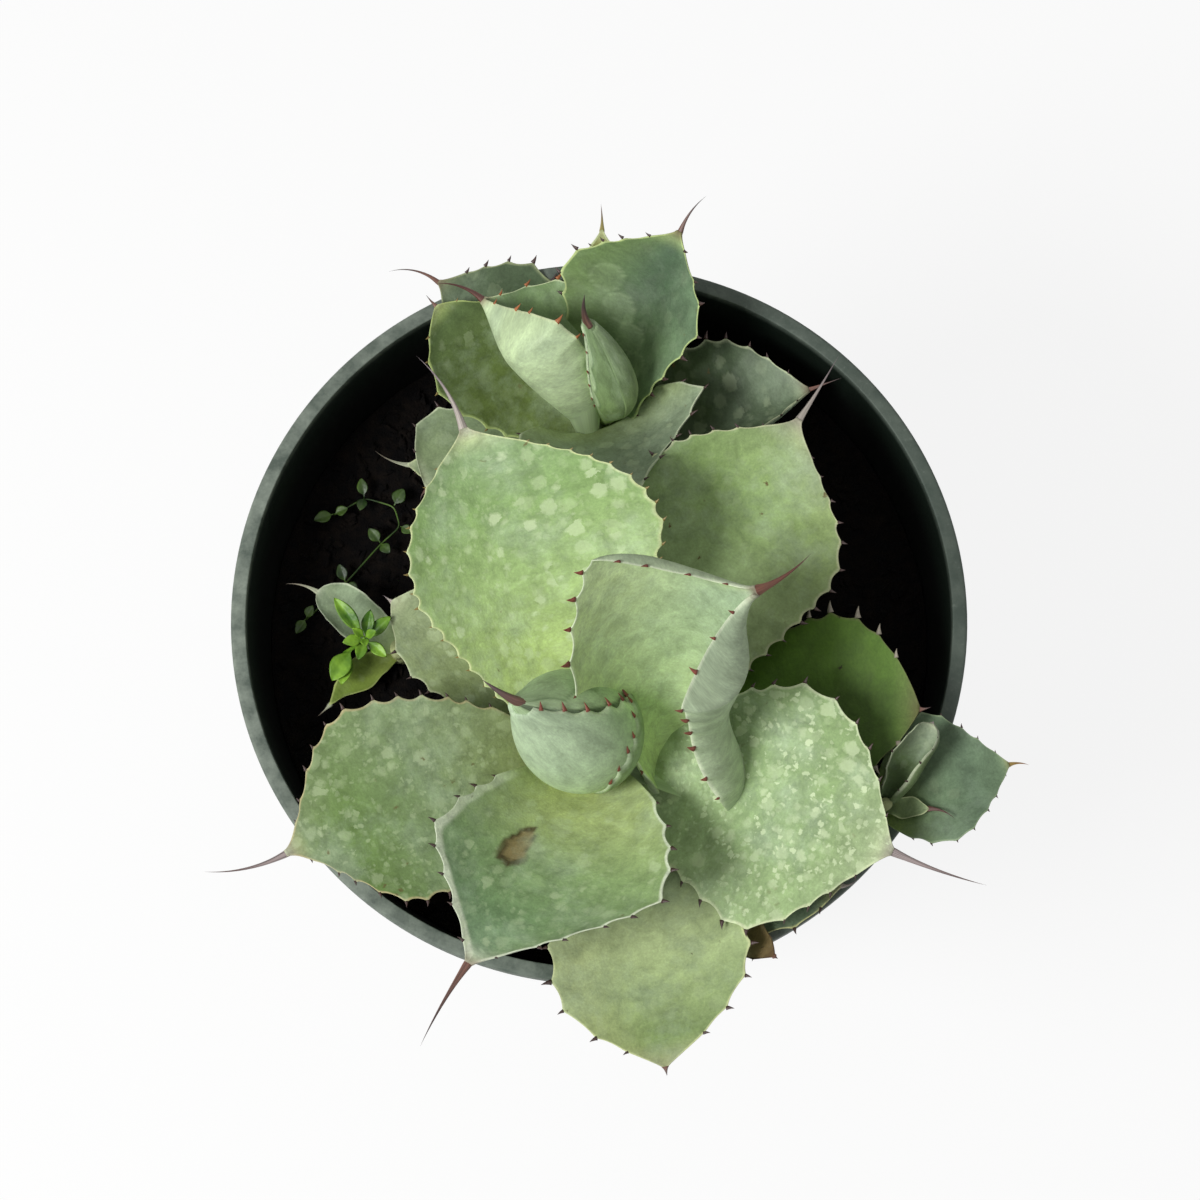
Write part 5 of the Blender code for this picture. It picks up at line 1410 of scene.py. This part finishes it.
WEED_TREE = weed_tree()
made_weeds = {}
for name, weed in WEEDS.items():
    run = np.array(weed["run"])
    share = np.linspace(0, 1, 8 * len(run))
    line = np.stack([np.interp(share, np.linspace(0, 1, len(run)), run[:, c]) for c in range(3)], -1)
    for _ in range(4):
        line[1:-1] = (line[:-2] + 2 * line[1:-1] + line[2:]) / 4
    along = np.gradient(line, axis=0)
    along /= np.linalg.norm(along, axis=1)[:, None]
    side = np.cross(along, (0.13, 0.2, 1.0) if name == "creeping_weed" else (0.3, 1.0, 0.1))
    side /= np.linalg.norm(side, axis=1)[:, None]
    top = np.cross(side, along)
    angle = np.arange(WEED_AROUND) * (2 * math.pi / WEED_AROUND)
    radius = (weed["radius"][0] + (weed["radius"][1] - weed["radius"][0]) * share)[:, None, None]
    rings = line[:, None] + radius * (side[:, None] * np.cos(angle)[None, :, None]
                                      + top[:, None] * np.sin(angle)[None, :, None])
    blank = np.zeros(rings.shape)
    finish = (weed_skin("weed_leaf_bright", "#3f6a14", "#8cb83a") if name == "seedling"
              else weed_skin("weed_leaf_dusty", "#1d3210", "#4f6c26"))
    piece = make_piece(name + "_shape", [ring_skin(rings, blank, blank, blank, 0)], [finish])
    stalks = len(piece.data.vertices)
    piece.data.vertices.add(len(weed["leaves"]))
    sizes = np.zeros((stalks + len(weed["leaves"]), 3), np.float32)
    turns = np.zeros(sizes.shape, np.float32)
    for i, (x, y, z, heading, pitch, length, width) in enumerate(weed["leaves"]):
        piece.data.vertices[stalks + i].co = Vector((x, y, z)) * MM
        sizes[stalks + i] = (length * MM, width * MM, length * MM)
        turns[stalks + i] = (0.0, -math.radians(pitch + 12), math.radians(heading))
    for key, values in (("leaf_size", sizes), ("leaf_turn", turns)):
        piece.data.attributes.new(key, "FLOAT_VECTOR", "POINT").data.foreach_set("vector", values.ravel())
    leaf_shape = placed("weed_leaf_shape", weed_leaf_mesh(weed["shape"]))
    grow(piece, WEED_TREE, leaf=leaf_shape, weed_finish=finish)
    bpy.data.objects.remove(leaf_shape)
    made_weeds[name] = piece
print("weeds made:", {name: len(piece.data.polygons) for name, piece in made_weeds.items()})

# %% [markdown]
# ## Tie the pieces to the frame
# Every piece rides on the frame's one body, and the frame's solid of the same name is hidden.
# The hidden solids stay behind for collision, so the physics doesn't change.

# %% Ride and replace
SLOTS = {**{name: leaf["slot"] for name, leaf in LEAVES.items()}, **dict.fromkeys(BUDS, "young_leaf"),
         **dict.fromkeys(STEMS, "stem_flesh"), **dict.fromkeys(WEEDS, "weed_leaf"),
         "pot": "pot_plastic", "potting_mix": "potting_mix"}
pieces = {**made_leaves, **made_buds, **made_stems, **made_weeds, "pot": pot, "potting_mix": mix}
for name, piece in pieces.items():
    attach(piece, "root")
    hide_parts(name)
print("pieces:", len(pieces), "triangles:",
      sum(len(face.vertices) - 2 for piece in pieces.values() for face in piece.data.polygons))

# %% [markdown]
# ## Floor, light and camera
# The setting is plain on purpose: a pale floor, a soft wide lamp from the left, and even light from
# all round that keeps the shadows open. The camera looks steeply down, as someone would who bends
# over the pot. The background is white to the camera only, so it puts no extra light on the plant.


# %% Floor and backdrop
FLOOR_HALF, FLOOR_DROP = 12.0, 0.0004  # metres
WHITENING = 0.86  # how far the camera sees the floor lifted to white
FILL_LIGHT, BACKDROP = 0.34, 1.0


def floor_finish():
    """Matt white studio board. The camera sees it lifted to white, with the shadow kept."""
    made, tree, shader = new_material("studio_board_matt", {"Roughness": 0.9})
    place = add(tree, "ShaderNodeTexCoord").outputs["Object"]
    tint = add(tree, "ShaderNodeTexNoise", {"Vector": place, "Scale": 3.0}).outputs["Fac"]
    body = add(tree, "ShaderNodeMix", {0: tint, 6: tone("#f2f2f1"), 7: tone("#f6f6f5")},
               data_type="RGBA").outputs[2]
    tree.links.new(body, shader.inputs["Base Color"])
    glow = add(tree, "ShaderNodeEmission", {"Color": (1, 1, 1, 1), "Strength": 1.0}).outputs[0]
    path = add(tree, "ShaderNodeLightPath").outputs
    seen = add(tree, "ShaderNodeMath", {0: path["Is Camera Ray"], 1: WHITENING},
               operation="MULTIPLY").outputs[0]
    both = add(tree, "ShaderNodeMixShader", {0: seen, 1: shader.outputs[0], 2: glow}).outputs[0]
    tree.links.new(both, tree.nodes["Material Output"].inputs["Surface"])
    return made


board = bpy.data.meshes.new("studio_floor")
corners = [(x * FLOOR_HALF, y * FLOOR_HALF, -FLOOR_DROP) for x, y in ((-1, -1), (1, -1), (1, 1), (-1, 1))]
board.from_pydata(corners, [], [(0, 1, 2, 3)])
board.materials.append(floor_finish())
floor = placed("studio_floor", board)
floor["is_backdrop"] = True

world = bpy.data.worlds.new("studio")
bpy.context.scene.world = world
world.use_nodes = True
tree = world.node_tree
path = add(tree, "ShaderNodeLightPath").outputs
seen = add(tree, "ShaderNodeMath", {0: path["Is Camera Ray"], 1: path["Is Glossy Ray"]},
           operation="MAXIMUM").outputs[0]
seen = add(tree, "ShaderNodeMath", {0: seen, 1: path["Is Transmission Ray"]}, operation="MAXIMUM").outputs[0]
strength = add(tree, "ShaderNodeMapRange", {0: seen, 3: FILL_LIGHT, 4: BACKDROP}).outputs[0]
tree.links.new(strength, tree.nodes["Background"].inputs["Strength"])
tree.nodes["Background"].inputs["Color"].default_value = (1, 1, 1, 1)
print("floor and backdrop are staged")

# %% Lamp and camera
TARGET = Vector((0.0002, 0.0030, 0.165))
CAMERA_DISTANCE = 0.650
CAMERA_PITCH = math.radians(77)
LAMP_PLACE, LAMP_SIZE, LAMP_WATTS = (-0.62, -0.30, 0.95), 0.42, 9.6
lamp_data = bpy.data.lights.new("softbox", "AREA")
lamp_data.shape, lamp_data.size, lamp_data.energy = "DISK", LAMP_SIZE, LAMP_WATTS
lamp = placed("softbox", lamp_data)
lamp.location = LAMP_PLACE
lamp.rotation_euler = (TARGET - Vector(lamp.location)).to_track_quat("-Z", "Y").to_euler()

camera_data = bpy.data.cameras.new("camera")
camera_data.lens, camera_data.sensor_width = 87.03, 36.0
camera_data.clip_start, camera_data.clip_end = 0.01, 20.0
camera = placed("camera", camera_data)
camera.location = TARGET + Vector((0, -math.cos(CAMERA_PITCH), math.sin(CAMERA_PITCH))) * CAMERA_DISTANCE
camera.rotation_euler = (TARGET - Vector(camera.location)).to_track_quat("-Z", "Y").to_euler()
bpy.context.scene.camera = camera
bpy.context.scene.view_settings.view_transform = "Standard"
print("camera at", tuple(round(c, 4) for c in camera.location))

# %% [markdown]
# ## Print the sizes and finish
# The last step prints the boxes of the frame and of the finished plant side by side, so that a slip of scale
# can't go unseen.

# %% Sizes, then the end
NEW_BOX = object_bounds()
sizes = {"cad": [list(corner) for corner in CAD_BOX], "visual": [list(corner) for corner in NEW_BOX]}
print("frame box, mm:", [[round(c * 1000, 1) for c in corner] for corner in sizes["cad"]])
print("plant box, mm:", [[round(c * 1000, 1) for c in corner] for corner in sizes["visual"]])
